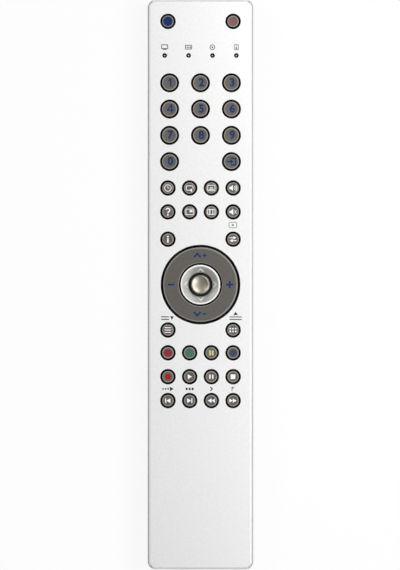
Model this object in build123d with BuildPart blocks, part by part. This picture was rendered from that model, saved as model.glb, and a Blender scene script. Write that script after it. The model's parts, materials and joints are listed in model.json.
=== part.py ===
from build123d import *
import os
from math import atan2, cos, degrees, hypot, pi, sin

# Television remote control, millimetres.
# +Z is up out of the keys, +Y runs along the case to the infrared end, and the origin is
# under the middle of the case, on the surface that it lies on.

# Case
case_width = 44.4
case_height = 17.5
corner_radius = 3.5
shoulder_width = 0.9
shoulder_depth = 2.0
shoulder_edge_radius = 0.3
case_wall = 1.6
plate_thickness = 1.8
parting_height = 8.0
shadow_gap = 0.2
rear_inset = 0.3
rear_floor = 2.0
rear_edge_radius = 2.2
lip_thickness = 0.8
lip_height = 1.6
lip_clearance = 0.1

# Rows of keys, each measured from the one above it, starting at the infrared end
top_row_inset = 9.25
lamp_row_drop = 14.35
number_row_drop = 11.5
number_row_count = 4
number_row_pitch = 11.05
number_column_count = 3
number_column_pitch = 13.0
source_row_drop = 11.11
small_row_pitch = 10.05
small_column_count = 4
small_column_pitch = 9.135
info_row_drop = 11.49
ring_drop = 19.1
colour_row_drop = 9.6
lamp_pitch = 10.05
lamp_count = 4

# Keys
number_hole_radius = 3.87
small_hole_radius = 3.12
key_gap = 0.66
key_rise = 0.8
key_travel = 0.8
key_edge_radius = 0.35
key_dish_depth = 0.14
key_dish_rim = 0.5
flange_overlap = 0.65
flange_thickness = 0.6
flange_gap = 0.1
hole_bevel = 0.15
notch_width = 0.9
notch_depth = 0.5
peg_clearance = 0.12

# Keypad mat and circuit board
mat_gap = 0.05
mat_dome_height = 1.75
mat_sheet_thickness = 1.0
mat_boss_radius = 1.9
mat_boss_height = 0.7
mat_dome_radius = 2.9
mat_web = 0.4
mat_margin = 1.8
board_thickness = 1.2
board_margin = 0.8
board_nose_space = 5.5
board_tail_length = 12.5
rib_thickness = 0.8
rib_gap = 0.05

# Volume and programme rocker ring
rocker_hole_radius = 16.6
rocker_gap = 0.85
rocker_rise = 0.9
rocker_top_thickness = 1.5
rocker_outer_wall = 1.2
rocker_inner_wall = 0.85
rocker_bevel_width = 0.7
rocker_bevel_depth = 0.4
rocker_inner_bevel = 0.25
rocker_inner_skirt = 2.6
rocker_dome_radius = 1.2
rocker_dome_height = 1.0
rocker_dome_count = 4
rocker_dome_overhang = 0.3
rocker_pivot_height = 2.2
pivot_ring_radius = 9.7
pivot_ring_width = 1.6
pivot_ring_height = 1.4
pin_radius = 0.5
pin_clearance = 0.05
lug_gap = 0.5
lug_thickness = 1.4
lug_width = 3.0
lug_below_pin = 0.9
mat_ring_clearance = 0.3

# Dish round the joystick
dish_radius = 8.5
dish_gap = 0.55
dish_wall = 1.1
dish_rise = 0.7
dish_rim_width = 0.9
dish_bevel = 0.2
dish_depth = 1.2
dish_bulge = 0.03
dish_thickness = 0.8
dish_hole_radius = 5.05
ridge_count = 4
ridge_height = 0.2
ridge_width = 0.3
ridge_tip_radius = 6.5
ridge_foot_radius = 5.4
ridge_half_width = 1.15
stake_radius = 0.4
stake_clearance = 0.1
dish_stake_count = 4

# Joystick
knob_radius = 4.12
knob_height = 2.5
knob_rise = 2.3
knob_foot_radius = 3.6
knob_edge_radius = 0.7
knob_cup_depth = 0.55
knob_cup_rim = 0.7
stem_radius = 1.0
stem_clearance = 0.05
stem_below_pivot = 1.05
joystick_pivot_height = 1.9
yoke_radius = 2.6
yoke_height = 2.0
small_pin_radius = 0.4
gimbal_radius = 3.5
gimbal_width = 1.2
gimbal_height = 1.4
switch_radius = 5.9
switch_wall = 1.0
switch_height = 3.1
switch_stake_count = 2

# Indicator lamps and infrared window
lamp_hole_radius = 0.98
lamp_recess_depth = 0.9
light_rod_radius = 0.35
light_rod_clearance = 0.1
light_bar_thickness = 0.8
light_bar_width = 3.0
lamp_size = 1.6
lamp_height = 0.8
lamp_clearance = 0.1
window_width = 18.0
window_height = 4.0
window_rim = 0.5
window_flange = 0.8
window_clearance = 0.1
window_above_lip = 0.6
infrared_radius = 1.5
infrared_rim = 0.4
infrared_length = 4.5
infrared_pitch = 8.0
infrared_drop = 0.6

# Two AAA cells in a bay under the bare tail
cell_radius = 5.25
cell_length = 44.5
cell_nub_radius = 1.9
cell_nub_length = 1.0
cell_edge_radius = 0.4
cell_gap = 0.4
cell_side_gap = 0.5
cell_lift = 0.5
cell_roof_gap = 0.3
spring_space = 4.4
spring_wire_radius = 0.3
spring_coil_radius = 2.6
spring_turns = 2.8
spring_gap = 0.1
contact_thickness = 0.5
contact_size = 8.4
bay_slack = 0.4
bay_wall = 1.2
bay_end_wall = 1.5
bay_roof = 1.0
bay_drop = 17.5
tail_gap = 0.8

# Sliding battery door
door_width = 30.0
door_lead = 2.3
door_clearance = 0.15
door_tongue_width = 0.9
door_tongue_thickness = 0.8
door_tongue_height = 0.8
door_seat = 1.4
door_land = 2.0
grip_count = 6
grip_pitch = 2.2
grip_width = 1.0
grip_length = 14.0
grip_depth = 0.4
grip_inset = 4.0
door_arrow_width = 6.0
door_arrow_length = 4.0
door_arrow_depth = 0.3

# Case screws
screw_radius = 0.95
screw_clearance = 0.05
screw_length = 8.0
screw_head_radius = 1.9
screw_head_height = 1.3
screw_head_clearance = 0.2
screw_slot_width = 0.5
screw_slot_depth = 0.6
screw_seat_height = 3.2
screw_hole_clearance = 0.25
post_radius = 2.0
post_foot_height = 5.0
post_gap = 0.3
boss_radius = 3.0
post_row_drop = 7.2
tail_post_drop = 8.7

# Electronics under the board
chip_size = 9.0
chip_height = 1.5
chip_offset = 9.0
resonator_length = 6.0
resonator_width = 2.6
resonator_height = 2.4
capacitor_radius = 2.5
capacitor_height = 5.4
capacitor_edge_radius = 0.4
capacitor_offset = 12.0

# Length of the case, worked out from the rows and the bay
bay_length = spring_space + cell_length + contact_thickness + bay_slack
rows_to_ring = (
    top_row_inset + lamp_row_drop + number_row_drop + (number_row_count - 1) * number_row_pitch
    + source_row_drop + small_row_pitch + info_row_drop + ring_drop
)
ring_to_last_row = ring_drop + colour_row_drop + 2 * small_row_pitch
case_length = (
    rows_to_ring + ring_to_last_row + bay_drop + bay_length + bay_end_wall + tail_gap + case_wall
)
nose_y = case_length / 2
tail_y = -case_length / 2

# Rows along the case
top_row_y = nose_y - top_row_inset
lamp_row_y = top_row_y - lamp_row_drop
number_rows_y = [
    lamp_row_y - number_row_drop - row * number_row_pitch for row in range(number_row_count)
]
source_row_y = number_rows_y[-1] - source_row_drop
help_row_y = source_row_y - small_row_pitch
info_row_y = help_row_y - info_row_drop
ring_y = info_row_y - ring_drop
menu_row_y = ring_y - ring_drop
colour_row_y = menu_row_y - colour_row_drop
play_row_y = colour_row_y - small_row_pitch
skip_row_y = play_row_y - small_row_pitch


def spread(count, pitch):
    """Places of a row across the case, even on both sides of its middle."""
    return [(step - (count - 1) / 2) * pitch for step in range(count)]


number_xs = spread(number_column_count, number_column_pitch)
small_xs = spread(small_column_count, small_column_pitch)
lamp_xs = spread(lamp_count, lamp_pitch)

# Heights, from the face down to the board
face_z = case_height
plate_under_z = face_z - plate_thickness
flange_top_z = plate_under_z - flange_gap
flange_bottom_z = flange_top_z - flange_thickness
mat_top_z = flange_bottom_z - mat_gap
mat_sheet_z = mat_top_z - mat_dome_height
board_top_z = mat_sheet_z - mat_sheet_thickness
board_under_z = board_top_z - board_thickness
key_top_z = face_z + key_rise

# Radii that follow the holes they work in
number_flange_radius = number_hole_radius + flange_overlap
small_flange_radius = small_hole_radius + flange_overlap
rocker_radius = rocker_hole_radius - rocker_gap
rocker_bore_radius = dish_radius + dish_gap
rocker_top_z = face_z + rocker_rise
rocker_foot_z = mat_sheet_z + rocker_dome_height + mat_gap
rocker_dome_ring = rocker_radius - rocker_dome_radius + rocker_dome_overhang
rocker_pivot_z = board_top_z + rocker_pivot_height
lug_inner = pivot_ring_radius + pivot_ring_width + lug_gap
lug_outer = lug_inner + lug_thickness
mat_ring_hole = lug_outer + mat_ring_clearance
joystick_pivot_z = board_top_z + joystick_pivot_height
dish_top_z = face_z + dish_rise
dish_low_z = dish_top_z - dish_depth
dish_under_z = dish_low_z - dish_thickness
knob_top_z = face_z + knob_rise
knob_foot_z = knob_top_z - knob_height

# Inside of the case, posts and board
inner_width = case_width - 2 * case_wall
inner_length = case_length - 2 * case_wall
post_x = inner_width / 2 - lip_clearance - lip_thickness - post_gap - post_radius
post_rows_y = [
    top_row_y - post_row_drop,
    (help_row_y + info_row_y) / 2,
    skip_row_y - tail_post_drop,
]
post_points = [(side * post_x, row) for row in post_rows_y for side in (-1, 1)]
board_width = inner_width - 2 * board_margin
board_nose_y = nose_y - case_wall - board_nose_space
board_tail_y = skip_row_y - board_tail_length
rib_rows_y = [
    (lamp_row_y + number_rows_y[0]) / 2,
    (number_rows_y[-1] - number_flange_radius + source_row_y + small_flange_radius) / 2,
    (help_row_y + info_row_y) / 2,
    (menu_row_y + colour_row_y) / 2,
    skip_row_y - small_flange_radius - rib_thickness,
]

# Battery bay and door
cell_spacing = 2 * cell_radius + cell_gap
cell_z = rear_floor + cell_lift + cell_radius
bay_half_width = cell_spacing / 2 + cell_radius + cell_side_gap
bay_nose_y = skip_row_y - bay_drop
bay_tail_y = bay_nose_y - bay_length
bay_roof_z = cell_z + cell_radius + cell_roof_gap
door_nose_y = bay_nose_y + door_lead
seat_top_z = rear_floor + door_seat
lip_top_z = parting_height - shadow_gap + lip_height
window_z = lip_top_z + window_above_lip + window_height / 2

os.makedirs("parts", exist_ok=True)


def write(part, name):
    """Labels a finished piece and writes it under its own name."""
    part.label = name
    export_step(part, f"parts/{name}.step")


def plan(width, length, radius, height):
    """A rounded rectangle on the case's centre, at a height."""
    with BuildSketch(Plane.XY.offset(height)) as outline:
        RectangleRounded(width, length, radius)
    return outline.sketch


def block(x_range, y_range, z_range, mode=Mode.ADD):
    """Adds or cuts a straight block between pairs of X, Y and Z places."""
    centre = ((x_range[0] + x_range[1]) / 2, (y_range[0] + y_range[1]) / 2)
    with BuildSketch(Plane.XY.offset(z_range[0])) as footprint:
        with Locations(centre):
            Rectangle(x_range[1] - x_range[0], y_range[1] - y_range[0])
    extrude(footprint.sketch, amount=z_range[1] - z_range[0], mode=mode)


def discs(points, radius, z_range, mode=Mode.ADD):
    """Adds or cuts an upright cylinder at each point."""
    with BuildSketch(Plane.XY.offset(z_range[0])) as footprint:
        with Locations(*points):
            Circle(radius)
    extrude(footprint.sketch, amount=z_range[1] - z_range[0], mode=mode)


def cross_pins(direction, radius, z, start, end, mode=Mode.ADD):
    """Adds or cuts two round pins that point out from the ring centre, one each way."""
    for side in (-1, 1):
        outward = Vector(direction) * side
        foot = Vector(0, ring_y, z) + outward * start
        with BuildSketch(Plane(origin=foot, z_dir=outward)) as section:
            Circle(radius)
        extrude(section.sketch, amount=end - start, mode=mode)


def ring_places(radius, count, first_angle=0.0):
    """Points round the ring centre."""
    return [
        (radius * cos(first_angle + 2 * pi * step / count),
         ring_y + radius * sin(first_angle + 2 * pi * step / count))
        for step in range(count)
    ]


# Keys: a name, a place and the size of the hole that each works in
key_layout = []
number_names = [
    ["key_1", "key_2", "key_3"],
    ["key_4", "key_5", "key_6"],
    ["key_7", "key_8", "key_9"],
    ["key_0", None, "key_source"],
]
for row_names, row_y in zip(number_names, number_rows_y):
    for key_name, key_x in zip(row_names, number_xs):
        if key_name:
            key_layout.append((key_name, key_x, row_y, number_hole_radius))

small_rows = [
    (top_row_y, ["key_mode", None, None, "key_standby"]),
    (source_row_y, ["key_timer", "key_repeat", "key_subtitle", "key_sound"]),
    (help_row_y, ["key_help", "key_picture_in_picture", "key_aspect", "key_mute"]),
    (info_row_y, ["key_info", None, None, "key_swap"]),
    (menu_row_y, ["key_menu", None, None, "key_guide"]),
    (colour_row_y, ["key_red", "key_green", "key_yellow", "key_blue"]),
    (play_row_y, ["key_record", "key_play", "key_pause", "key_stop"]),
    (skip_row_y, ["key_skip_back", "key_skip_forward", "key_rewind", "key_fast_forward"]),
]
for row_y, row_names in small_rows:
    for key_name, key_x in zip(row_names, small_xs):
        if key_name:
            key_layout.append((key_name, key_x, row_y, small_hole_radius))

key_points = [(key_x, key_y) for key_name, key_x, key_y, hole_radius in key_layout]
lamp_points = [(lamp_x, lamp_row_y) for lamp_x in lamp_xs]
rocker_dome_points = ring_places(rocker_dome_ring, rocker_dome_count)


def make_key(key_x, key_y, hole_radius):
    """A round cap with a soft edge and a dished top, on a notched flange."""
    cap_radius = hole_radius - key_gap
    flange_radius = hole_radius + flange_overlap
    dish_rim_radius = cap_radius - key_dish_rim
    dish_sphere = (dish_rim_radius**2 + key_dish_depth**2) / (2 * key_dish_depth)
    with BuildPart() as key:
        with BuildSketch(Plane.XY.offset(flange_bottom_z)):
            with Locations((key_x, key_y)):
                Circle(flange_radius)
            with Locations((key_x, key_y - flange_radius)):
                Rectangle(notch_width, 2 * notch_depth, mode=Mode.SUBTRACT)
        extrude(amount=flange_thickness)
        discs([(key_x, key_y)], cap_radius, (flange_bottom_z, key_top_z))
        fillet(key.edges().group_by(Axis.Z)[-1], key_edge_radius)
        with Locations((key_x, key_y, key_top_z + dish_sphere - key_dish_depth)):
            Sphere(dish_sphere, mode=Mode.SUBTRACT)
    return key.part


for key_name, key_x, key_y, hole_radius in key_layout:
    write(make_key(key_x, key_y, hole_radius), key_name)


# Front cover: the silver face with its steep shoulder, side walls, holes, pegs, ribs and screw posts
with BuildPart() as front_cover:
    shoulder_foot_z = face_z - shoulder_depth
    extrude(
        plan(case_width, case_length, corner_radius, parting_height),
        amount=shoulder_foot_z - parting_height,
    )
    extrude(
        plan(case_width, case_length, corner_radius, shoulder_foot_z),
        amount=shoulder_depth,
        taper=degrees(atan2(shoulder_width, shoulder_depth)),
    )
    fillet(front_cover.edges().group_by(Axis.Z)[-1], shoulder_edge_radius)
    extrude(
        plan(inner_width, inner_length, corner_radius - case_wall, parting_height),
        amount=plate_under_z - parting_height,
        mode=Mode.SUBTRACT,
    )
    for rib_y in rib_rows_y:
        block(
            (-board_width / 2 + mat_margin, board_width / 2 - mat_margin),
            (rib_y - rib_thickness / 2, rib_y + rib_thickness / 2),
            (mat_sheet_z + rib_gap, plate_under_z),
        )
    discs(post_points, post_radius, (post_foot_height, plate_under_z))
    discs(
        post_points,
        screw_radius + screw_clearance,
        (post_foot_height, screw_seat_height + screw_length + screw_clearance),
        Mode.SUBTRACT,
    )
    for key_name, key_x, key_y, hole_radius in key_layout:
        peg_y = key_y - hole_radius - flange_overlap + notch_depth / 2
        peg_half = notch_width / 2 - peg_clearance
        block(
            (key_x - peg_half, key_x + peg_half),
            (peg_y - notch_depth / 2, peg_y + notch_depth / 2 - peg_clearance),
            (flange_bottom_z - key_travel - flange_gap, plate_under_z),
        )
        discs([(key_x, key_y)], hole_radius, (plate_under_z, face_z), Mode.SUBTRACT)
    discs([(0, ring_y)], rocker_hole_radius, (plate_under_z, face_z), Mode.SUBTRACT)
    discs(lamp_points, lamp_hole_radius, (face_z - lamp_recess_depth, face_z), Mode.SUBTRACT)
    discs(lamp_points, light_rod_radius + light_rod_clearance, (plate_under_z, face_z), Mode.SUBTRACT)
    face_holes = front_cover.edges().group_by(Axis.Z)[-1].filter_by(GeomType.CIRCLE)
    chamfer(face_holes.filter_by(lambda edge: edge.radius > small_hole_radius - hole_bevel), hole_bevel)
    block(
        (-window_width / 2, window_width / 2),
        (nose_y - 2 * case_wall, nose_y + case_wall),
        (window_z - window_height / 2, window_z + window_height / 2),
        Mode.SUBTRACT,
    )
write(front_cover.part, "front_cover")


def rear_body(builder):
    """Adds the outer form of the lower half, with its rounded lower edge."""
    outline = plan(
        case_width - 2 * rear_inset,
        case_length - 2 * rear_inset,
        corner_radius - rear_inset,
        0,
    )
    extrude(outline, amount=parting_height - shadow_gap)
    fillet(builder.edges().group_by(Axis.Z)[0], rear_edge_radius)


def door_track(clearance, y_range, mode):
    """Adds, cuts or keeps the door's section, a plate with a tongue along each side."""
    half = door_width / 2 + clearance
    tongue_low = door_tongue_height - clearance
    tongue_high = door_tongue_height + door_tongue_thickness + clearance
    length = y_range[1] - y_range[0]
    with BuildSketch(Plane(origin=(0, y_range[1], 0), x_dir=(1, 0, 0), z_dir=(0, -1, 0))) as section:
        with BuildLine():
            Polyline(
                (-half, 0),
                (half, 0),
                (half, tongue_low),
                (half + door_tongue_width, tongue_low),
                (half + door_tongue_width, tongue_high),
                (half, tongue_high),
                (half, rear_floor),
                (-half, rear_floor),
                (-half, tongue_high),
                (-half - door_tongue_width, tongue_high),
                (-half - door_tongue_width, tongue_low),
                (-half, tongue_low),
                close=True,
            )
        make_face()
    extrude(section.sketch, amount=length, mode=mode)


# Rear cover: the tray with its lip, screw bosses, board rests and battery bay
with BuildPart() as rear_cover:
    rear_body(rear_cover)
    rear_hollow = plan(
        inner_width - 2 * rear_inset,
        inner_length - 2 * rear_inset,
        corner_radius - case_wall - rear_inset,
        rear_floor,
    )
    extrude(rear_hollow, amount=parting_height - rear_floor, mode=Mode.SUBTRACT)
    with BuildSketch(Plane.XY.offset(parting_height - shadow_gap - lip_height)):
        RectangleRounded(
            inner_width - 2 * lip_clearance,
            inner_length - 2 * lip_clearance,
            corner_radius - case_wall - lip_clearance,
        )
        RectangleRounded(
            inner_width - 2 * lip_clearance - 2 * lip_thickness,
            inner_length - 2 * lip_clearance - 2 * lip_thickness,
            corner_radius - case_wall - lip_clearance - lip_thickness,
            mode=Mode.SUBTRACT,
        )
    extrude(amount=2 * lip_height)
    for rib_y in rib_rows_y:
        block(
            (-post_x + boss_radius + post_gap, post_x - boss_radius - post_gap),
            (rib_y - rib_thickness / 2, rib_y + rib_thickness / 2),
            (rear_floor, board_under_z),
        )
    discs(post_points, boss_radius, (rear_floor, post_foot_height))
    with Locations(*[Plane(origin=(x, y, 0), z_dir=(0, 0, -1)) for x, y in post_points]):
        CounterBoreHole(
            radius=screw_radius + screw_hole_clearance,
            counter_bore_radius=screw_head_radius + screw_head_clearance,
            counter_bore_depth=screw_seat_height,
            depth=post_foot_height,
        )
    block(
        (-door_width / 2 - door_land - door_tongue_width, door_width / 2 + door_land + door_tongue_width),
        (tail_y + case_wall, door_nose_y + door_land),
        (rear_floor, seat_top_z),
    )
    block(
        (-bay_half_width - bay_wall, bay_half_width + bay_wall),
        (bay_tail_y - bay_end_wall, bay_nose_y + bay_end_wall),
        (rear_floor, bay_roof_z + bay_roof),
    )
    block(
        (-bay_half_width, bay_half_width),
        (bay_tail_y, bay_nose_y),
        (0, bay_roof_z),
        Mode.SUBTRACT,
    )
    door_track(door_clearance, (tail_y - case_wall, door_nose_y + door_clearance), Mode.SUBTRACT)
    block(
        (-door_width / 2 - door_clearance, door_width / 2 + door_clearance),
        (tail_y - case_wall, door_nose_y + door_clearance),
        (rear_floor, rear_floor + door_clearance),
        Mode.SUBTRACT,
    )
write(rear_cover.part, "rear_cover")


# Battery door: slides in from the tail end, with grip grooves and an arrow near its inner end
with BuildPart() as battery_door:
    rear_body(battery_door)
    door_track(0, (tail_y - case_wall, door_nose_y), Mode.INTERSECT)
    for groove in range(grip_count):
        groove_y = door_nose_y - grip_inset - groove * grip_pitch
        with BuildSketch(Plane.XY):
            with Locations((0, groove_y)):
                SlotOverall(grip_length, grip_width)
        extrude(amount=grip_depth, mode=Mode.SUBTRACT)
    with BuildSketch(Plane.XY):
        with Locations((0, door_nose_y - grip_inset - grip_count * grip_pitch)):
            Polygon(
                (-door_arrow_width / 2, 0),
                (0, -door_arrow_length),
                (door_arrow_width / 2, 0),
                align=None,
            )
    extrude(amount=door_arrow_depth, mode=Mode.SUBTRACT)
write(battery_door.part, "battery_door")


# Infrared window, flush with the end wall, with a rim behind it
with BuildPart() as ir_window:
    wall_inside_y = nose_y - case_wall
    block(
        (-window_width / 2 + window_clearance, window_width / 2 - window_clearance),
        (wall_inside_y, nose_y),
        (
            window_z - window_height / 2 + window_clearance,
            window_z + window_height / 2 - window_clearance,
        ),
    )
    block(
        (-window_width / 2 - window_rim, window_width / 2 + window_rim),
        (wall_inside_y - window_flange, wall_inside_y),
        (window_z - window_height / 2 - window_rim, window_z + window_height / 2 + window_rim),
    )
write(ir_window.part, "ir_window")


def board_plan(width, nose_end, tail_end, height, post_clearance, thickness):
    """Adds a flat sheet inside the case with a notch at each screw post."""
    with BuildSketch(Plane.XY.offset(height)) as sheet:
        with Locations((0, (nose_end + tail_end) / 2)):
            Rectangle(width, nose_end - tail_end)
        for x, y in post_points:
            with Locations((x, y)):
                Circle(post_radius + post_clearance, mode=Mode.SUBTRACT)
            edge_side = 1 if x > 0 else -1
            with Locations((x + edge_side * post_radius, y)):
                Rectangle(2 * post_radius, 2 * (post_radius + post_clearance), mode=Mode.SUBTRACT)
    extrude(sheet.sketch, amount=thickness)


# Circuit board, with holes for the pegs of the dish and the joystick switch
dish_stakes = ring_places(dish_radius - dish_wall / 2, dish_stake_count, pi / 4)
switch_stakes = ring_places(switch_radius + switch_wall / 2, switch_stake_count, pi / 2)
with BuildPart() as circuit_board:
    board_plan(board_width, board_nose_y, board_tail_y, board_under_z, post_gap, board_thickness)
    discs(
        dish_stakes + switch_stakes,
        stake_radius + stake_clearance,
        (board_under_z, board_top_z),
        Mode.SUBTRACT,
    )
write(circuit_board.part, "circuit_board")


# Keypad mat: one rubber sheet with a hollow dome under every key and under the ring
with BuildPart() as keypad_mat:
    board_plan(
        board_width - 2 * mat_margin,
        board_nose_y - mat_margin,
        board_tail_y + mat_margin,
        board_top_z,
        post_gap,
        mat_sheet_thickness,
    )
    boss_z = mat_top_z - mat_boss_height
    cone_height = boss_z - mat_sheet_z
    with Locations(*[(x, y, mat_sheet_z + cone_height / 2) for x, y in key_points]):
        Cone(mat_dome_radius, mat_boss_radius, cone_height)
    discs(key_points, mat_boss_radius, (boss_z, mat_top_z))
    discs(rocker_dome_points, rocker_dome_radius, (mat_sheet_z, mat_sheet_z + rocker_dome_height))
    hollow_height = mat_sheet_thickness + cone_height - mat_web
    with Locations(*[(x, y, board_top_z + hollow_height / 2) for x, y in key_points]):
        Cone(mat_dome_radius - mat_web, mat_boss_radius - mat_web, hollow_height, mode=Mode.SUBTRACT)
    discs([(0, ring_y)], mat_ring_hole, (board_top_z, mat_sheet_z), Mode.SUBTRACT)
    discs(lamp_points, lamp_size, (board_top_z, mat_sheet_z), Mode.SUBTRACT)
write(keypad_mat.part, "keypad_mat")


# Light guide: a clear bar under the face with a rod up to each lamp hole
with BuildPart() as light_guide:
    block(
        (lamp_xs[0] - light_bar_width / 2, lamp_xs[-1] + light_bar_width / 2),
        (lamp_row_y - light_bar_width / 2, lamp_row_y + light_bar_width / 2),
        (plate_under_z - light_bar_thickness, plate_under_z),
    )
    discs(lamp_points, light_rod_radius, (board_top_z + lamp_height + lamp_clearance, face_z))
write(light_guide.part, "light_guide")


# Indicator lamps on the board, one under each rod
with BuildPart() as indicator_lamps:
    for lamp_x in lamp_xs:
        block(
            (lamp_x - lamp_size / 2, lamp_x + lamp_size / 2),
            (lamp_row_y - lamp_size / 2, lamp_row_y + lamp_size / 2),
            (board_top_z, board_top_z + lamp_height),
        )
write(indicator_lamps.part, "indicator_lamps")


# Rocker ring: a hollow ring whose outer skirt rests over four domes, with two pivot lugs
with BuildPart() as rocker_ring:
    with BuildSketch(Plane.XZ):
        with BuildLine():
            Polyline(
                (rocker_bore_radius, rocker_top_z - rocker_inner_bevel),
                (rocker_bore_radius + rocker_inner_bevel, rocker_top_z),
                (rocker_radius - rocker_bevel_width, rocker_top_z),
                (rocker_radius, rocker_top_z - rocker_bevel_depth),
                (rocker_radius, rocker_foot_z),
                (rocker_radius - rocker_outer_wall, rocker_foot_z),
                (rocker_radius - rocker_outer_wall, rocker_top_z - rocker_top_thickness),
                (rocker_bore_radius + rocker_inner_wall, rocker_top_z - rocker_top_thickness),
                (rocker_bore_radius + rocker_inner_wall, rocker_top_z - rocker_inner_skirt),
                (rocker_bore_radius, rocker_top_z - rocker_inner_skirt),
                close=True,
            )
        make_face()
    revolve(axis=Axis.Z)
    for side in (-1, 1):
        near, far = sorted((side * lug_inner, side * lug_outer))
        block(
            (-lug_width / 2, lug_width / 2),
            (near, far),
            (rocker_pivot_z - lug_below_pin, rocker_top_z - rocker_top_thickness),
        )
rocker_part = Pos(0, ring_y, 0) * rocker_ring.part
with BuildPart() as rocker_ring_placed:
    add(rocker_part)
    cross_pins(
        (0, 1, 0),
        pin_radius + pin_clearance,
        rocker_pivot_z,
        lug_inner - lug_gap / 2,
        lug_outer + lug_gap / 2,
        Mode.SUBTRACT,
    )
write(rocker_ring_placed.part, "rocker_ring")


# Pivot ring: hangs on the dish's pins and carries the rocker ring on its own
with BuildPart() as rocker_pivot_ring:
    low = rocker_pivot_z - pivot_ring_height / 2
    high = rocker_pivot_z + pivot_ring_height / 2
    discs([(0, ring_y)], pivot_ring_radius + pivot_ring_width, (low, high))
    discs([(0, ring_y)], pivot_ring_radius, (low, high), Mode.SUBTRACT)
    cross_pins(
        (1, 0, 0),
        pin_radius + pin_clearance,
        rocker_pivot_z,
        pivot_ring_radius - lug_gap,
        pivot_ring_radius + pivot_ring_width + lug_gap,
        Mode.SUBTRACT,
    )
    cross_pins(
        (0, 1, 0),
        pin_radius,
        rocker_pivot_z,
        pivot_ring_radius + pivot_ring_width / 2,
        lug_outer - pin_clearance,
    )
write(rocker_pivot_ring.part, "rocker_pivot_ring")


# Dish: stands on the board round the joystick and carries the pivot ring on two pins
dish_rim_radius = dish_radius - dish_bevel
dish_slope_radius = dish_rim_radius - dish_rim_width
with BuildPart() as centre_dish_profile:
    with BuildSketch(Plane.XZ):
        with BuildLine():
            Polyline(
                (dish_hole_radius, dish_low_z),
                (dish_hole_radius, dish_under_z),
                (dish_radius - dish_wall, dish_under_z),
                (dish_radius - dish_wall, board_top_z),
                (dish_radius, board_top_z),
                (dish_radius, dish_top_z - dish_bevel),
                (dish_rim_radius, dish_top_z),
                (dish_slope_radius, dish_top_z),
            )
            ThreePointArc(
                (dish_slope_radius, dish_top_z),
                (
                    (dish_slope_radius + dish_hole_radius) / 2,
                    (dish_top_z + dish_low_z) / 2 + dish_bulge,
                ),
                (dish_hole_radius, dish_low_z),
            )
        make_face()
    revolve(axis=Axis.Z)
dish_part = Pos(0, ring_y, 0) * centre_dish_profile.part

# Arrow ridges on the dish's slope: upright prisms, trimmed by the dish raised a little
ridge_leg = hypot(ridge_tip_radius - ridge_foot_radius, ridge_half_width)
ridge_shift = ridge_width / 2 * ridge_leg / ridge_half_width
with BuildPart() as ridge_prisms:
    with BuildSketch(Plane.XY.offset(dish_low_z - dish_thickness / 2)):
        with PolarLocations(0, ridge_count):
            Polygon(
                (ridge_tip_radius + ridge_shift, 0),
                (ridge_foot_radius + ridge_shift, ridge_half_width),
                (ridge_foot_radius - ridge_shift, ridge_half_width),
                (ridge_tip_radius - ridge_shift, 0),
                (ridge_foot_radius - ridge_shift, -ridge_half_width),
                (ridge_foot_radius + ridge_shift, -ridge_half_width),
                align=None,
            )
    extrude(amount=dish_depth + dish_thickness / 2)
dish_ridges = ridge_prisms.part & (Pos(0, 0, ridge_height) * centre_dish_profile.part)
dish_ridges_placed = Pos(0, ring_y, 0) * dish_ridges

with BuildPart() as centre_dish:
    add(dish_part)
    add(dish_ridges_placed)
    cross_pins(
        (1, 0, 0),
        pin_radius,
        rocker_pivot_z,
        dish_radius - dish_wall / 2,
        pivot_ring_radius + pivot_ring_width - pin_clearance,
    )
    discs(dish_stakes, stake_radius, (board_under_z, board_top_z))
write(centre_dish.part, "centre_dish")


# Joystick switch: a round body on the board with two bearings, open at the top
with BuildPart() as joystick_switch:
    top_z = board_top_z + switch_height
    discs([(0, ring_y)], switch_radius + switch_wall, (board_top_z, top_z))
    discs([(0, ring_y)], switch_radius, (board_top_z, top_z), Mode.SUBTRACT)
    bearing_radius = small_pin_radius + pin_clearance
    cross_pins(
        (1, 0, 0),
        bearing_radius,
        joystick_pivot_z,
        switch_radius - switch_wall,
        switch_radius + 2 * switch_wall,
        Mode.SUBTRACT,
    )
    block(
        (-switch_radius - 2 * switch_wall, switch_radius + 2 * switch_wall),
        (ring_y - bearing_radius, ring_y + bearing_radius),
        (joystick_pivot_z, top_z),
        Mode.SUBTRACT,
    )
    discs(switch_stakes, stake_radius, (board_under_z, board_top_z))
write(joystick_switch.part, "joystick_switch")


# Joystick gimbal: tips on the switch's bearings
with BuildPart() as joystick_gimbal:
    low = joystick_pivot_z - gimbal_height / 2
    high = joystick_pivot_z + gimbal_height / 2
    discs([(0, ring_y)], gimbal_radius + gimbal_width, (low, high))
    discs([(0, ring_y)], gimbal_radius, (low, high), Mode.SUBTRACT)
    cross_pins(
        (0, 1, 0),
        small_pin_radius + pin_clearance,
        joystick_pivot_z,
        gimbal_radius - gimbal_width / 2,
        gimbal_radius + 2 * gimbal_width,
        Mode.SUBTRACT,
    )
    cross_pins(
        (1, 0, 0),
        small_pin_radius,
        joystick_pivot_z,
        gimbal_radius + gimbal_width / 2,
        switch_radius + switch_wall,
    )
write(joystick_gimbal.part, "joystick_gimbal")


# Joystick yoke: tips inside the gimbal and guides the stem
with BuildPart() as joystick_yoke:
    low = joystick_pivot_z - yoke_height / 2
    high = joystick_pivot_z + yoke_height / 2
    discs([(0, ring_y)], yoke_radius, (low, high))
    cross_pins(
        (0, 1, 0),
        small_pin_radius,
        joystick_pivot_z,
        yoke_radius / 2,
        gimbal_radius + gimbal_width - pin_clearance,
    )
    discs([(0, ring_y)], stem_radius + stem_clearance, (low, high), Mode.SUBTRACT)
write(joystick_yoke.part, "joystick_yoke")


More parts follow.
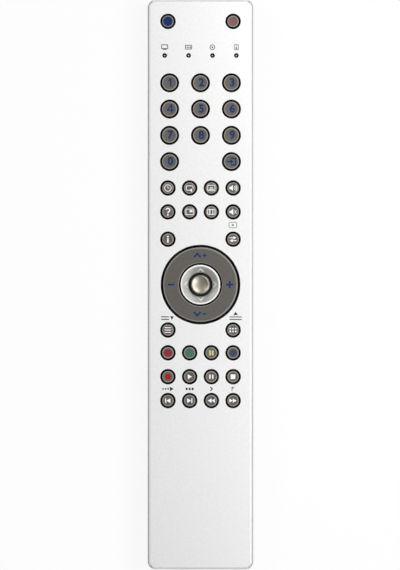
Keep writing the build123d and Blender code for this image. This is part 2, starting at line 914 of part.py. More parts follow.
# Joystick knob: a cupped cap on a stem that slides in the yoke
knob_cup_radius = knob_radius - knob_cup_rim
knob_cup_sphere = (knob_cup_radius**2 + knob_cup_depth**2) / (2 * knob_cup_depth)
with BuildPart() as joystick_knob:
    discs([(0, ring_y)], stem_radius, (joystick_pivot_z - stem_below_pivot, knob_top_z - knob_height / 2))
    with Locations((0, ring_y, knob_foot_z + knob_height / 2)):
        Cone(knob_foot_radius, knob_radius, knob_height)
    fillet(joystick_knob.edges().group_by(Axis.Z)[-1], knob_edge_radius)
    with Locations((0, ring_y, knob_top_z + knob_cup_sphere - knob_cup_depth)):
        Sphere(knob_cup_sphere, mode=Mode.SUBTRACT)
write(joystick_knob.part, "joystick_knob")


# Case screws, with crossed slots in their heads
with BuildPart() as case_screws:
    head_low_z = screw_seat_height - screw_head_height
    discs(post_points, screw_head_radius, (head_low_z, screw_seat_height))
    discs(post_points, screw_radius, (screw_seat_height, screw_seat_height + screw_length))
    with BuildSketch(Plane.XY.offset(head_low_z)):
        with Locations(*post_points):
            Rectangle(2 * screw_radius, screw_slot_width)
            Rectangle(screw_slot_width, 2 * screw_radius)
    extrude(amount=screw_slot_depth, mode=Mode.SUBTRACT)
write(case_screws.part, "case_screws")


# Cells: the left one's nub points to the nose, the right one's to the tail
cell_xs = (-cell_spacing / 2, cell_spacing / 2)
nub_sides = (1, -1)


def cell_base_y(nub_side):
    """Where the flat end of a cell stands: one spring away from its end of the bay."""
    bay_end = bay_tail_y if nub_side > 0 else bay_nose_y
    return bay_end + nub_side * (spring_space + bay_slack / 2)


with BuildPart() as batteries:
    for cell_x, nub_side in zip(cell_xs, nub_sides):
        base = Plane(origin=(cell_x, cell_base_y(nub_side), cell_z), z_dir=(0, nub_side, 0))
        with BuildSketch(base):
            Circle(cell_radius)
        extrude(amount=cell_length - cell_nub_length)
        with BuildSketch(base.offset(cell_length - cell_nub_length)):
            Circle(cell_nub_radius)
        extrude(amount=cell_nub_length)
    can_edges = batteries.edges().filter_by(GeomType.CIRCLE)
    fillet(can_edges.filter_by(lambda edge: edge.radius > cell_nub_radius), cell_edge_radius)
write(batteries.part, "batteries")


# Contact plates: two at the nose end of the bay and one across its tail end
with BuildPart() as battery_contacts:
    contact_z = (cell_z - contact_size / 2, cell_z + contact_size / 2)
    for cell_x in cell_xs:
        block(
            (cell_x - contact_size / 2, cell_x + contact_size / 2),
            (bay_nose_y - contact_thickness, bay_nose_y),
            contact_z,
        )
    block(
        (cell_xs[0] - contact_size / 2, cell_xs[1] + contact_size / 2),
        (bay_tail_y, bay_tail_y + contact_thickness),
        contact_z,
    )
write(battery_contacts.part, "battery_contacts")


# Contact springs, one at the flat end of each cell
spring_length = spring_space + bay_slack / 2 - contact_thickness - 2 * spring_wire_radius - 2 * spring_gap
spring_pitch = spring_length / spring_turns
print("gap between the turns of a contact spring, mm:", round(spring_pitch - 2 * spring_wire_radius, 3))
with BuildPart() as battery_springs:
    for cell_x, nub_side in zip(cell_xs, nub_sides):
        bay_end = bay_tail_y if nub_side > 0 else bay_nose_y
        foot_y = bay_end + nub_side * (contact_thickness + spring_wire_radius + spring_gap)
        with BuildLine() as coil:
            Helix(
                pitch=spring_pitch,
                height=spring_length,
                radius=spring_coil_radius,
                center=(cell_x, foot_y, cell_z),
                direction=(0, nub_side, 0),
            )
        with BuildSketch(Plane(origin=coil.line @ 0, z_dir=coil.line % 0)):
            Circle(spring_wire_radius)
        sweep(path=coil.line, is_frenet=True)
write(battery_springs.part, "battery_springs")


# Infrared lamps: two domed bodies that lie at the board's end and face the window
infrared_z = board_under_z + infrared_drop
with BuildPart() as infrared_lamps:
    for side in (-1, 1):
        lamp_foot = Plane(origin=(side * infrared_pitch / 2, board_nose_y, infrared_z), z_dir=(0, 1, 0))
        with BuildSketch(lamp_foot):
            Circle(infrared_radius + infrared_rim)
        extrude(amount=infrared_rim)
        with BuildSketch(lamp_foot):
            Circle(infrared_radius)
        extrude(amount=infrared_length - infrared_radius)
        with Locations(lamp_foot.offset(infrared_length - infrared_radius)):
            Sphere(infrared_radius)
write(infrared_lamps.part, "infrared_lamps")


# Controller, resonator and capacitor on the underside of the board
chip_y = ring_y + chip_offset
resonator_y = (rib_rows_y[0] + rib_rows_y[1]) / 2
capacitor_y = resonator_y - capacitor_offset
with BuildPart() as controller_chip:
    block(
        (-chip_size / 2, chip_size / 2),
        (chip_y - chip_size / 2, chip_y + chip_size / 2),
        (board_under_z - chip_height, board_under_z),
    )
write(controller_chip.part, "controller_chip")

with BuildPart() as resonator:
    with BuildSketch(Plane.XY.offset(board_under_z - resonator_height)):
        with Locations((0, resonator_y)):
            SlotOverall(resonator_length, resonator_width)
    extrude(amount=resonator_height)
write(resonator.part, "resonator")

with BuildPart() as capacitor:
    discs([(0, capacitor_y)], capacitor_radius, (board_under_z - capacitor_height, board_under_z))
    fillet(capacitor.edges().group_by(Axis.Z)[0], capacitor_edge_radius)
write(capacitor.part, "capacitor")
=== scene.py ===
import json
import math

import bmesh
import bpy
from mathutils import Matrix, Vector


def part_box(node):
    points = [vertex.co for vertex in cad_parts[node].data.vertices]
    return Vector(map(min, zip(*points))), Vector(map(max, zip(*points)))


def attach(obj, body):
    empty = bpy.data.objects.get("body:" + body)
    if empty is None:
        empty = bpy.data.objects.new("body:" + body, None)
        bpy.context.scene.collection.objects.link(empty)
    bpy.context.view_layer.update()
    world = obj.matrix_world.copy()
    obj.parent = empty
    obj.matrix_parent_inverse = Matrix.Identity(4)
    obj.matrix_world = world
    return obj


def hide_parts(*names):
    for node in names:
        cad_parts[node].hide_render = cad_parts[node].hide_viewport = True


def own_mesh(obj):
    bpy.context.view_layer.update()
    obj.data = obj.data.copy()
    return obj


# Slim television remote control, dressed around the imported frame.
# Metres, +Z out of the keys, +Y to the infrared end. Sizes are written in millimetres.
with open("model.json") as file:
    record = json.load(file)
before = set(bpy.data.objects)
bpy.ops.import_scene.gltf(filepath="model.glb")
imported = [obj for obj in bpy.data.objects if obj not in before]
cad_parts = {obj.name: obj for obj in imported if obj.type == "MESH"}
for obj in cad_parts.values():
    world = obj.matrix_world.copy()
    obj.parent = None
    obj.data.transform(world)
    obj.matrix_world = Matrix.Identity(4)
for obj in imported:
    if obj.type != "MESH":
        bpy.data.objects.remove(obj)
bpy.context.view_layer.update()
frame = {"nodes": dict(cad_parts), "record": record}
mm = 0.001
tau = 2 * math.pi

# Places read from the frame
caseLow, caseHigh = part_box("front_cover")
ringLow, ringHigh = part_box("rocker_ring")
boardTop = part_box("circuit_board")[1].z
ringY = (ringLow.y + ringHigh.y) / 2
ringCentre = (0.0, ringY)
faceZ = caseHigh.z
keyNames = sorted(name for name in frame["nodes"] if name.startswith("key_"))


def inMetres(**millimetres):
    # the settings of one piece
    return {key: value * mm for key, value in millimetres.items()}


def centreOf(node):
    low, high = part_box(node)
    return (low.x + high.x) / 2, high.y - (high.x - low.x) / 2


# Materials
def linear(hexColour):
    # sRGB hex to the linear colour that the shader wants
    parts = [int(hexColour[i:i + 2], 16) / 255 for i in (1, 3, 5)]
    return tuple(c / 12.92 if c <= 0.04045 else ((c + 0.055) / 1.055) ** 2.4 for c in parts) + (1.0,)


def addNode(tree, kind, settings=None):
    # one node; a setting is an attribute or a socket, and a socket takes a value or a link
    node = tree.nodes.new(kind)
    for key, value in (settings or {}).items():
        if isinstance(value, bpy.types.NodeSocket):
            tree.links.new(value, node.inputs[key])
        elif isinstance(key, str) and hasattr(node, key):
            setattr(node, key, value)
        else:
            node.inputs[key].default_value = value
    return node


def addTexture(tree, kind, settings):
    # a node fed with the object's own coordinates
    where = addNode(tree, "ShaderNodeTexCoord")
    return addNode(tree, kind, {"Vector": where.outputs["Object"], **settings})


def addSum(tree, operation, *values):
    # the result of one piece of arithmetic
    node = addNode(tree, "ShaderNodeMath", {"operation": operation, **dict(enumerate(values))})
    return node.outputs[0]


def newMaterial(name, colour, roughness, metallic=0.0, ior=None, coat=0.0, coatRoughness=0.1, specular=0.5,
                transmission=0.0):
    material = bpy.data.materials.new(name)
    material.use_nodes = True
    tree = material.node_tree
    shader = tree.nodes["Principled BSDF"]
    sockets = {"Base Color": linear(colour), "Roughness": roughness, "Metallic": metallic,
               "Specular IOR Level": specular, "Coat Weight": coat, "Coat Roughness": coatRoughness,
               "Transmission Weight": transmission}
    if ior:
        sockets["IOR"] = ior
    for socket, value in sockets.items():
        shader.inputs[socket].default_value = value
    return material, tree, shader


def mottle(tree, shader, shades, sizeMm, detail):
    # slow drift between two near colours, as any real batch of paint or plastic has
    noise = addTexture(tree, "ShaderNodeTexNoise", {"Scale": 1000 / sizeMm, "Detail": detail})
    ramp = addNode(tree, "ShaderNodeValToRGB", {"Fac": noise.outputs["Fac"]})
    for element, position, shade in zip(ramp.color_ramp.elements, (0.3, 0.7), shades):
        element.position = position
        element.color = linear(shade)
    tree.links.new(ramp.outputs["Color"], shader.inputs["Base Color"])


def emboss(tree, shader, depthMm, height):
    # a texture's height in the bump
    bump = addNode(tree, "ShaderNodeBump", {"Distance": depthMm * mm, "Height": height})
    tree.links.new(bump.outputs["Normal"], shader.inputs["Normal"])


def grain(tree, shader, sizeMm, depthMm, gloss):
    # fine surface texture: its height in the bump, and its gloss varying with it
    noise = addTexture(tree, "ShaderNodeTexNoise", {"Scale": 1000 / sizeMm})
    emboss(tree, shader, depthMm, noise.outputs["Fac"])
    if gloss:
        spread = addNode(tree, "ShaderNodeMapRange",
                         {"To Min": gloss[0], "To Max": gloss[1], "Value": noise.outputs["Fac"]})
        tree.links.new(spread.outputs["Result"], shader.inputs["Roughness"])


def surface(name, colour, roughness, shades, driftMm, grainMm, depthMm, gloss=None, detail=4.0, **shading):
    # a whole finish: its slow drift between two shades, and its grain with the range of its roughness
    material, tree, shader = newMaterial(name, colour, roughness, **shading)
    mottle(tree, shader, shades, driftMm, detail)
    grain(tree, shader, grainMm, depthMm, gloss)
    return material


def mouldedAbs(name, dark, light, textureMm, depthMm, roughness, specular=0.5):
    # spark-eroded mould texture on ABS: matt with a fine even grain
    return surface(name, dark, roughness, (dark, light), 9.0, textureMm, depthMm,
                   (roughness - 0.06, roughness + 0.08), ior=1.53, specular=specular)


def keyLacquer(name, dark, light):
    # warm grey satin lacquer on the key caps and the ring
    return surface(name, dark, 0.42, (dark, light), 1.3, 0.35, 0.006, (0.38, 0.5), ior=1.5)


def ink(name, colour):
    # pad-printed ink: thin, matt and slightly uneven
    deeper = "#" + "".join(f"{int(int(colour[i:i + 2], 16) * 0.9):02X}" for i in (1, 3, 5))
    return surface(name, colour, 0.7, (deeper, colour), 0.8, 0.12, 0.002, ior=1.5, specular=0.25)


def platedSteel(name, colour, roughness, lineMm):
    # drawn or pressed steel with a thin plated finish and faint drawing lines
    return surface(name, colour, roughness, (colour, "#C9C7C2"), 1.4, lineMm, 0.004,
                   (roughness - 0.08, roughness + 0.1), metallic=1.0)


def solderMask():
    # black solder mask over copper tracks on glass-epoxy; a scale of 120 draws them 2 mm apart
    material, tree, shader = newMaterial("boardSolderMask", "#101412", 0.5, ior=1.5, specular=0.3)
    tracks = addTexture(tree, "ShaderNodeTexBrick",
                        {"Scale": 120.0, "Mortar Size": 0.012, "Color1": linear("#0F1311"),
                         "Color2": linear("#121614"), "Mortar": linear("#262C28")})
    tree.links.new(tracks.outputs["Color"], shader.inputs["Base Color"])
    emboss(tree, shader, 0.02, tracks.outputs["Fac"])
    return material


cellLook = {"band": "#B98A3C", "body": "#23262B", "bandMm": 12.0, "film": 900.0, "filmDepth": 0.004}


def cellJacket():
    # printed film jacket on a steel can: dark, with a copper band at the positive end of each cell
    material, tree, shader = newMaterial("cellPrintedJacket", cellLook["body"], 0.28, coat=0.5,
                                         coatRoughness=0.12)
    low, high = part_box("batteries")
    split = addTexture(tree, "ShaderNodeSeparateXYZ", {})
    fromMiddle = addSum(tree, "SUBTRACT", split.outputs["Y"], (low.y + high.y) / 2)
    towardPlus = addSum(tree, "MULTIPLY", fromMiddle, addSum(tree, "SIGN", split.outputs["X"]))
    limit = (high.y - low.y) / 2 - cellLook["bandMm"] * mm
    band = addSum(tree, "LESS_THAN", towardPlus, -limit)
    noise = addTexture(tree, "ShaderNodeTexNoise", {"Scale": cellLook["film"], "Detail": 3.0})
    twoColours = addNode(tree, "ShaderNodeMix", {"data_type": "RGBA", "Factor": band})
    for socket, part in zip((s for s in twoColours.inputs if s.type == "RGBA"), ("body", "band")):
        socket.default_value = linear(cellLook[part])
    colourOut = [socket for socket in twoColours.outputs if socket.type == "RGBA"][0]
    tree.links.new(colourOut, shader.inputs["Base Color"])
    emboss(tree, shader, cellLook["filmDepth"], noise.outputs["Fac"])
    return material


looks = {
    # silver lacquer with fine aluminium flake on moulded ABS: a soft even sheen with a faint grain.
    # the flake is drawn at half a millimetre, coarser than real, so that it shows
    "silver_cover": surface("satinSilverLacquer", "#ECECEB", 0.36, ("#E9EAE9", "#EFF0EF"), 1.1, 0.55, 0.008,
                            (0.30, 0.44), 6.0, metallic=0.3),
    "dark_cover": mouldedAbs("caseMouldedAbs", "#35373A", "#3B3D40", 0.5, 0.03, 0.5),
    "key_plastic": keyLacquer("keySatinLacquer", "#504C47", "#56514C"),
    # satin metallic lacquer on ABS, half flake and half binder, with a broad soft sheen
    "silver_dish": surface("dishSatinLacquer", "#AAACA8", 0.42, ("#A7A9A5", "#AEB0AC"), 2.0, 0.5, 0.001,
                           (0.4, 0.46), metallic=0.55),
    # turned aluminium, blasted and anodised champagne
    "knob_metal": surface("knobChampagneAnodised", "#9E988B", 0.37, ("#9B9588", "#A19B8E"), 1.5, 0.5,
                          0.0006, (0.35, 0.39), metallic=1.0),
    # infrared-pass polycarbonate, moulded and polished: near black with a red heart
    "window_plastic": surface("windowSmokedPolycarbonate", "#1A060A", 0.06, ("#16050A", "#200A0E"), 3.0,
                              1.2, 0.002, ior=1.585, coat=0.4, coatRoughness=0.03),
    # light pipe and lamp bodies, water-clear acrylic, frosted by the mould
    "clear_plastic": surface("lightPipeAcrylic", "#F2F4F4", 0.18, ("#EDF0F0", "#F7F9F9"), 0.7, 0.2, 0.002,
                             ior=1.49, transmission=0.4),
    # moulded silicone keypad, dark grey and matt, with a bloom of talc
    "mat_rubber": surface("matSiliconeRubber", "#2B2C2E", 0.7, ("#27282A", "#323436"), 1.6, 0.25, 0.006,
                          (0.62, 0.8), ior=1.41),
    "board_laminate": solderMask(),
    # transfer-moulded epoxy of a chip
    "component_black": surface("chipMouldedEpoxy", "#1B1B1C", 0.55, ("#18181A", "#212123"), 0.9, 0.15,
                               0.005, ior=1.55),
    "component_metal": platedSteel("canNickelPlated", "#B9B7B0", 0.3, 0.3),
    "switch_plastic": mouldedAbs("switchMouldedAcetal", "#1E1F21", "#26282A", 0.4, 0.01, 0.42),
    "spring_steel": platedSteel("springNickelPlated", "#BDBBB4", 0.26, 0.2),
    # black zinc plating
    "screw_steel": surface("screwBlackZinc", "#3B3B3D", 0.38, ("#343436", "#48484B"), 0.9, 0.2, 0.004,
                           metallic=1.0),
    "cell_jacket": cellJacket(),
}
# painted shade: the long sides, up to half the height of the shoulder, are a flatter, darker grey than the
# face, standing in for the shade they turn into
shoulderPaintedShade = surface("shoulderPaintedShadeLacquer", "#B8B9B8", 0.6, ("#B5B6B5", "#BBBCBB"), 1.1, 0.55, 0.008,
                       (0.55, 0.65), 6.0, specular=0.25)
# painted highlight: the paler lacquer of the keys' rims and the ring's bevels stands in for the light those
# edges catch
keyRimPaintedHighlight = keyLacquer("keyRimPaintedHighlightLacquer", "#88837C", "#8E8982")
# near-black bare plastic of the inside, which also paints shade into the holes, the lamps' recesses and
# round the rods
insideAbsAndPaintedShade = mouldedAbs("caseInsideAbsAndPaintedShade", "#111112", "#161617", 0.6, 0.02, 0.8, 0.15)
# near-black bare plastic of the keys' sides and flanges, which also paints shade into the gaps round the
# keys, the ring and the dish
keyBareAbsAndPaintedShade = mouldedAbs("keyBareAbsAndPaintedShade", "#0F0E0E", "#141313", 0.5, 0.01, 0.8, 0.15)
# painted highlight: near-white lacquer on the dish's rim and on the crests of its arrowheads, standing in
# for the light they catch
dishPaintedHighlight = newMaterial("dishRimPaintedHighlight", "#F0F0EE", 0.4, metallic=0.2)[0]
inkColours = {"White": "#FAF8F5", "Navy": "#003267", "DarkGrey": "#2E2E31", "PaleGrey": "#848482",
              "Red": "#A60E12", "Crimson": "#8C2734", "DullRed": "#855B59", "Green": "#3F725A",
              "Yellow": "#CFC98C", "Blue": "#022862", "SlateBlue": "#3C4657"}
inks = {name: ink("ink" + name, colour) for name, colour in inkColours.items()}

slotOf = {row["node"]: row["material_slot"] for row in frame["record"]["subparts"]}
for nodeName, nodeObject in frame["nodes"].items():
    nodeObject.data.materials.clear()
    nodeObject.data.materials.append(looks[slotOf[nodeName]])
print("materials made:", len(bpy.data.materials))


# Mesh helpers
def addObject(name, data):
    made = bpy.data.objects.new(name, data)
    bpy.context.scene.collection.objects.link(made)
    return made


def finishPiece(name, bm, body, slotName, sharpDegrees=32, material=None):
    # turns a bmesh into a shaded piece that rides on a body, in its slot's material unless another is given
    bmesh.ops.recalc_face_normals(bm, faces=bm.faces)
    mesh = bpy.data.meshes.new(name)
    bm.to_mesh(mesh)
    bm.free()
    mesh.polygons.foreach_set("use_smooth", [True] * len(mesh.polygons))
    mesh.set_sharp_from_angle(angle=math.radians(sharpDegrees))
    mesh.materials.append(material or looks[slotName])
    piece = addObject(name, mesh)
    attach(piece, body)
    return piece


def shadeWhere(piece, material, test):
    # a second material on the faces whose centre and normal pass the test
    piece.data.materials.append(material)
    for face in piece.data.polygons:
        if test(face.center, face.normal):
            face.material_index = len(piece.data.materials) - 1


def addBox(bm, low, high):
    # a straight block between two corners, its twelve edges left to the caller
    for vert in bmesh.ops.create_cube(bm, size=1.0)["verts"]:
        vert.co = [(a + b) / 2 + (b - a) * c for a, b, c in zip(low, high, vert.co)]


def ringOf(bm, radius, z, centre, steps):
    # one ring of vertices round an upright axis
    x, y = centre
    angles = [tau * step / steps for step in range(steps)]
    return [bm.verts.new((x + radius * math.cos(a), y + radius * math.sin(a), z)) for a in angles]


def skin(bm, first, second):
    # quads between two rings with as many vertices
    for step in range(len(first)):
        after = (step + 1) % len(first)
        bm.faces.new((first[step], first[after], second[after], second[step]))


def skinAll(bm, rings):
    for first, second in zip(rings, rings[1:]):
        skin(bm, first, second)


def lathe(bm, profile, centre, steps, closed=False):
    # turns a profile of (radius, z) in metres; a radius of zero closes it with a point
    rings = [ringOf(bm, radius, z, centre, steps if radius > 0 else 1) for radius, z in profile]
    pairs = list(zip(rings, rings[1:])) + ([(rings[-1], rings[0])] if closed else [])
    for first, second in pairs:
        if len(first) > 1 and len(second) > 1:
            skin(bm, first, second)
            continue
        tip, rim = (first[0], second) if len(first) == 1 else (second[0], first)
        for step in range(steps):
            bm.faces.new((tip, rim[step], rim[(step + 1) % steps]))


def away(at, centre):
    # distance from an upright axis
    return math.hypot(at.x - centre[0], at.y - centre[1])


def arcPoints(centre, radius, start, end, count):
    # points along an arc in a plane, angles in degrees
    angles = [math.radians(start + (end - start) * i / count) for i in range(count + 1)]
    return [(centre[0] + radius * math.cos(a), centre[1] + radius * math.sin(a)) for a in angles]


def roundedLoop(width, length, radius, steps, extraXs=()):
    # a rounded rectangle, from the +X end of its +Y side; extraXs, which fall, add points on that side
    points = []
    halfX, halfY = width / 2, length / 2
    for cornerX, cornerY, start in ((1, 1, 0), (-1, 1, 90), (-1, -1, 180), (1, -1, 270)):
        corner = (cornerX * (halfX - radius), cornerY * (halfY - radius))
        points += arcPoints(corner, radius, start, start + 90, steps)
        if start == 0:
            points += [(x, halfY) for x in extraXs]
    return points


def fillWithHoles(bm, loops):
    # one flat face field inside the first loop and outside the others
    pairs = [pair for loop in loops for pair in zip(loop, loop[1:] + loop[:1])]
    edges = [bm.edges.get(pair) or bm.edges.new(pair) for pair in pairs]
    bmesh.ops.triangle_fill(bm, use_beauty=True, use_dissolve=False, edges=edges)


# Front cover
coverLook = inMetres(cornerRadius=3.5, shoulderWidth=0.9, shoulderDepth=2.0, shoulderEdge=0.3,
                     creaseNear=0.08, creaseFar=0.3, shoulderHalf=1.1, wall=1.6, plate=1.8, bevel=0.15,
                     lampBevel=0.04, footBevel=0.25, numberHole=3.87, smallHole=3.12, numberFlange=8.5,
                     ringHole=16.6, lampHole=0.98, lampRecess=0.9, rodHole=0.45, lampPitch=10.05,
                     windowWidth=18.0, windowRebate=0.5, support=0.25, greyBelow=0.9, bareMargin=0.05)
cornerSteps = 14
# how far a face of the shoulder leans toward a long side before it takes the painted shade grey
paintedShadeLean = 0.35
ceiling = faceZ - coverLook["plate"]
caseWidth = caseHigh.x - caseLow.x
caseLength = caseHigh.y - caseLow.y
windowLow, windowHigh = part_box("ir_window")
rimLow = windowLow.z + coverLook["windowRebate"]
rimHigh = windowHigh.z - coverLook["windowRebate"]
lampLow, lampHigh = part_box("light_guide")
lampRowY = (lampLow.y + lampHigh.y) / 2
lampXs = [(lamp - 1.5) * coverLook["lampPitch"] for lamp in range(4)]


def holeRadius(name):
    low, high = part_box(name)
    return coverLook["numberHole" if high.x - low.x > coverLook["numberFlange"] else "smallHole"]


def holeList():
    # each hole of the face: its centre, radius, bevel and number of steps
    bevel = coverLook["bevel"]
    holes = [(centreOf(name), holeRadius(name), bevel, 72) for name in keyNames]
    holes.append((ringCentre, coverLook["ringHole"], bevel, 192))
    holes.extend(((x, lampRowY), coverLook["lampHole"], coverLook["lampBevel"], 40) for x in lampXs)
    return holes


def shoulderSection():
    # inset and height along the outside wall, up the steep shoulder and round its soft top edge
    width, depth = coverLook["shoulderWidth"], coverLook["shoulderDepth"]
    radius = coverLook["shoulderEdge"]
    lean = math.atan2(width, depth)
    flat = width + radius * math.tan((math.pi / 2 - lean) / 2)
    foot = faceZ - depth
    near, far, half = (coverLook[key] for key in ("creaseNear", "creaseFar", "shoulderHalf"))
    slope = [(0.0, foot - far), (0.0, foot - near)]
    slope += [(reach * math.sin(lean), foot + reach * math.cos(lean)) for reach in (near, far)]
    slope.append((half * math.tan(lean), foot + half))
    slope += arcPoints((flat, faceZ - radius), radius, 180 - math.degrees(lean), 90, 6)
    return slope + [(flat + coverLook["support"], faceZ)]


def makeWall(bm):
    # in from the ceiling, round the foot, up the outside and over the shoulder
    wall, foot = coverLook["wall"], coverLook["footBevel"]
    halfWindow = coverLook["windowWidth"] / 2
    section = [(wall, ceiling), (wall, rimHigh), (wall, rimLow), (wall, caseLow.z)]
    section += [(foot, caseLow.z), (0.0, caseLow.z + foot), (0.0, rimLow), (0.0, rimHigh)]
    section += shoulderSection()
    rings = []
    for inset, z in section:
        loop = roundedLoop(caseWidth - 2 * inset, caseLength - 2 * inset,
                           coverLook["cornerRadius"] - inset, cornerSteps, (halfWindow, -halfWindow))
        rings.append([bm.verts.new((x, y, z)) for x, y in loop])
    skinAll(bm, rings)
    # window opening: take out the one cell of the inner and outer wall, and line it
    right = cornerSteps + 1
    left = right + 1
    cells = [[rings[high][right], rings[high][left], rings[low][left], rings[low][right]]
             for high, low in ((1, 2), (7, 6))]
    for cell in cells:
        bm.faces.remove([face for face in bm.faces if set(face.verts) == set(cell)][0])
    skin(bm, *cells)
    return rings[-1], rings[0]


def makeHole(bm, centre, radius, bevel, steps):
    # bevelled at the top; a lamp's recess ends at the narrower hole of its rod
    flat = radius + bevel
    profile = [(flat + coverLook["support"], faceZ), (flat, faceZ),
               (radius + 0.55 * bevel, faceZ - 0.15 * bevel), (radius, faceZ - bevel)]
    if radius < coverLook["smallHole"]:
        recess = faceZ - coverLook["lampRecess"]
        profile += [(radius, recess), (coverLook["rodHole"], recess)]
        radius = coverLook["rodHole"]
    profile.append((radius, ceiling))
    loops = [ringOf(bm, r, z, centre, steps) for r, z in profile]
    skinAll(bm, loops)
    return loops[0], loops[-1]


def makeFrontCover():
    bm = bmesh.new()
    # the face and the ceiling: the loop that lies flat round each hole and inside the border keeps the
    # long faces between them from shading unevenly
    edges = [makeWall(bm)] + [makeHole(bm, *hole) for hole in holeList()]
    for loops in zip(*edges):
        fillWithHoles(bm, loops)
    cover = finishPiece("frontCoverShell", bm, "root", "silver_cover", 30)
    # painted shade: the lacquer ends at the holes' bevels, and the bevels, the hole walls and the whole
    # inside are near-black bare plastic, partly the real unpainted inside and partly painted shade that
    # keeps the gaps dark
    bareX, bareY = (side - coverLook["wall"] + coverLook["bareMargin"] for side in (caseHigh.x, caseHigh.y))
    # painted shade: the long sides below the top of the shoulder take the darker grey
    paintedShadeTop = faceZ - coverLook["greyBelow"]
    shadeWhere(cover, shoulderPaintedShade, lambda at, normal: at.z < paintedShadeTop and abs(normal.x) > paintedShadeLean)
    shadeWhere(cover, insideAbsAndPaintedShade, lambda at, normal: abs(at.x) < bareX and abs(at.y) < bareY
               and at.z < faceZ - 0.2 * coverLook["lampBevel"])
    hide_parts("front_cover")


insideLook = inMetres(post=2.0, postChamfer=0.2, pilot=1.0, pilotClear=0.1, pilotTip=0.3,
                      headRadius=1.9, postFoot=5.0, ribHalf=18.0, ribThick=0.8, ribFoot=13.25,
                      flange=0.65, notch=0.5, pegHalf=0.33, pegClear=0.12, pegFoot=14.1)
ribRows = (90.65, 45.82, 24.85, -23.9, -53.37)


def makeInside():
    # screw posts, ribs over the mat and a peg for each key's notch, all in the bare plastic
    look = insideLook
    screwLow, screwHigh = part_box("case_screws")
    postX = screwHigh.x - look["headRadius"]
    middleRow = (centreOf("key_help")[1] + centreOf("key_info")[1]) / 2
    rows = [screwHigh.y - look["headRadius"], middleRow, screwLow.y + look["headRadius"]]
    post, pilot, foot, chamfer = (look[key] for key in ("post", "pilot", "postFoot", "postChamfer"))
    profile = [(post, ceiling), (post, foot + chamfer), (post - chamfer, foot), (pilot, foot),
               (pilot, screwHigh.z + look["pilotClear"]), (0.0, screwHigh.z + look["pilotTip"])]
    bm = bmesh.new()
    for postY in rows:
        for side in (-1, 1):
            lathe(bm, profile, (side * postX, postY), 40)
    finishPiece("frontCoverPosts", bm, "root", "silver_cover", material=insideAbsAndPaintedShade)
    bm = bmesh.new()
    for ribY in ribRows:
        addBox(bm, (-look["ribHalf"], ribY * mm - look["ribThick"] / 2, look["ribFoot"]),
               (look["ribHalf"], ribY * mm + look["ribThick"] / 2, ceiling))
    for name in keyNames:
        x, y = centreOf(name)
        pegY = y - holeRadius(name) - look["flange"]
        addBox(bm, (x - look["pegHalf"], pegY, look["pegFoot"]),
               (x + look["pegHalf"], pegY + look["notch"] - look["pegClear"], ceiling))
    finishPiece("frontCoverRibs", bm, "root", "silver_cover", material=insideAbsAndPaintedShade)


makeFrontCover()
makeInside()
print("front cover made")


# Keys
keyLook = inMetres(gap=0.66, edge=0.35, rim=0.5, dish=0.14, flange=0.6, lacquer=0.16)
keySteps, dishSteps = 72, 8


def capRadius(name):
    return holeRadius(name) - keyLook["gap"]


def dishDepth(cap, distance):
    # how far the dished top lies below the rim, in metres
    rimRadius = cap - keyLook["rim"]
    depth = keyLook["dish"]
    if distance >= rimRadius:
        return 0.0
    sphere = (rimRadius ** 2 + depth ** 2) / (2 * depth)
    return depth - sphere + math.sqrt(sphere ** 2 - distance ** 2)


def makeKeyCap(name):
    # a cap with a soft edge, a narrow rim and a dished top; its flange stays under the face
    low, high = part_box(name)
    centre = centreOf(name)
    cap = capRadius(name)
    flange = (high.x - low.x) / 2
    edge, rimRadius = keyLook["edge"], cap - keyLook["rim"]
    flangeTop = low.z + keyLook["flange"]
    profile = [(0.0, low.z), (flange, low.z), (flange, flangeTop), (cap, flangeTop)]
    profile += arcPoints((cap - edge, high.z - edge), edge, 0, 90, 7)
    for step in range(dishSteps + 1):
        distance = rimRadius * (1 - step / dishSteps)
        profile.append((distance, high.z - dishDepth(cap, distance)))
    bm = bmesh.new()
    lathe(bm, profile, centre, keySteps)
    piece = finishPiece(name + "_cap", bm, name, "key_plastic", 35)
    # painted highlight: the rim is paler, standing in for the light it catches; since the lacquer is
    # sprayed from above, the sides and the flange stay bare near-black plastic, which also paints shade
    # into the gap round the key
    bareTop = high.z - keyLook["lacquer"]
    shadeWhere(piece, keyRimPaintedHighlight, lambda at, normal: away(at, centre) > rimRadius)
    shadeWhere(piece, keyBareAbsAndPaintedShade, lambda at, normal: at.z < flangeTop
               or (at.z < bareTop and away(at, centre) > rimRadius))
    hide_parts(name)


for keyName in keyNames:
    makeKeyCap(keyName)
print("key caps made:", len(keyNames))


# Printed legends, as thin pieces of ink that follow the surface
inkLook = inMetres(proud=0.02, root=0.06, maxEdge=0.45)


def bar(x0, y0, x1, y1):
    return [(x0, y0), (x1, y0), (x1, y1), (x0, y1)]


def circle(radius, cx=0.0, cy=0.0, count=40, squeeze=1.0):
    return [(cx + radius * math.cos(tau * i / count), cy + squeeze * radius * math.sin(tau * i / count))
            for i in range(count)]


def frameBar(width, height, thick, radius=0.3, cx=0.0, cy=0.0):
    # an outlined rectangle: its outer edge and its inner edge
    loops = [roundedLoop(width - 2 * inset, height - 2 * inset, max(radius - inset, 0.05), 5)
             for inset in (0, thick)]
    return [[(cx + x, cy + y) for x, y in loop] for loop in loops]


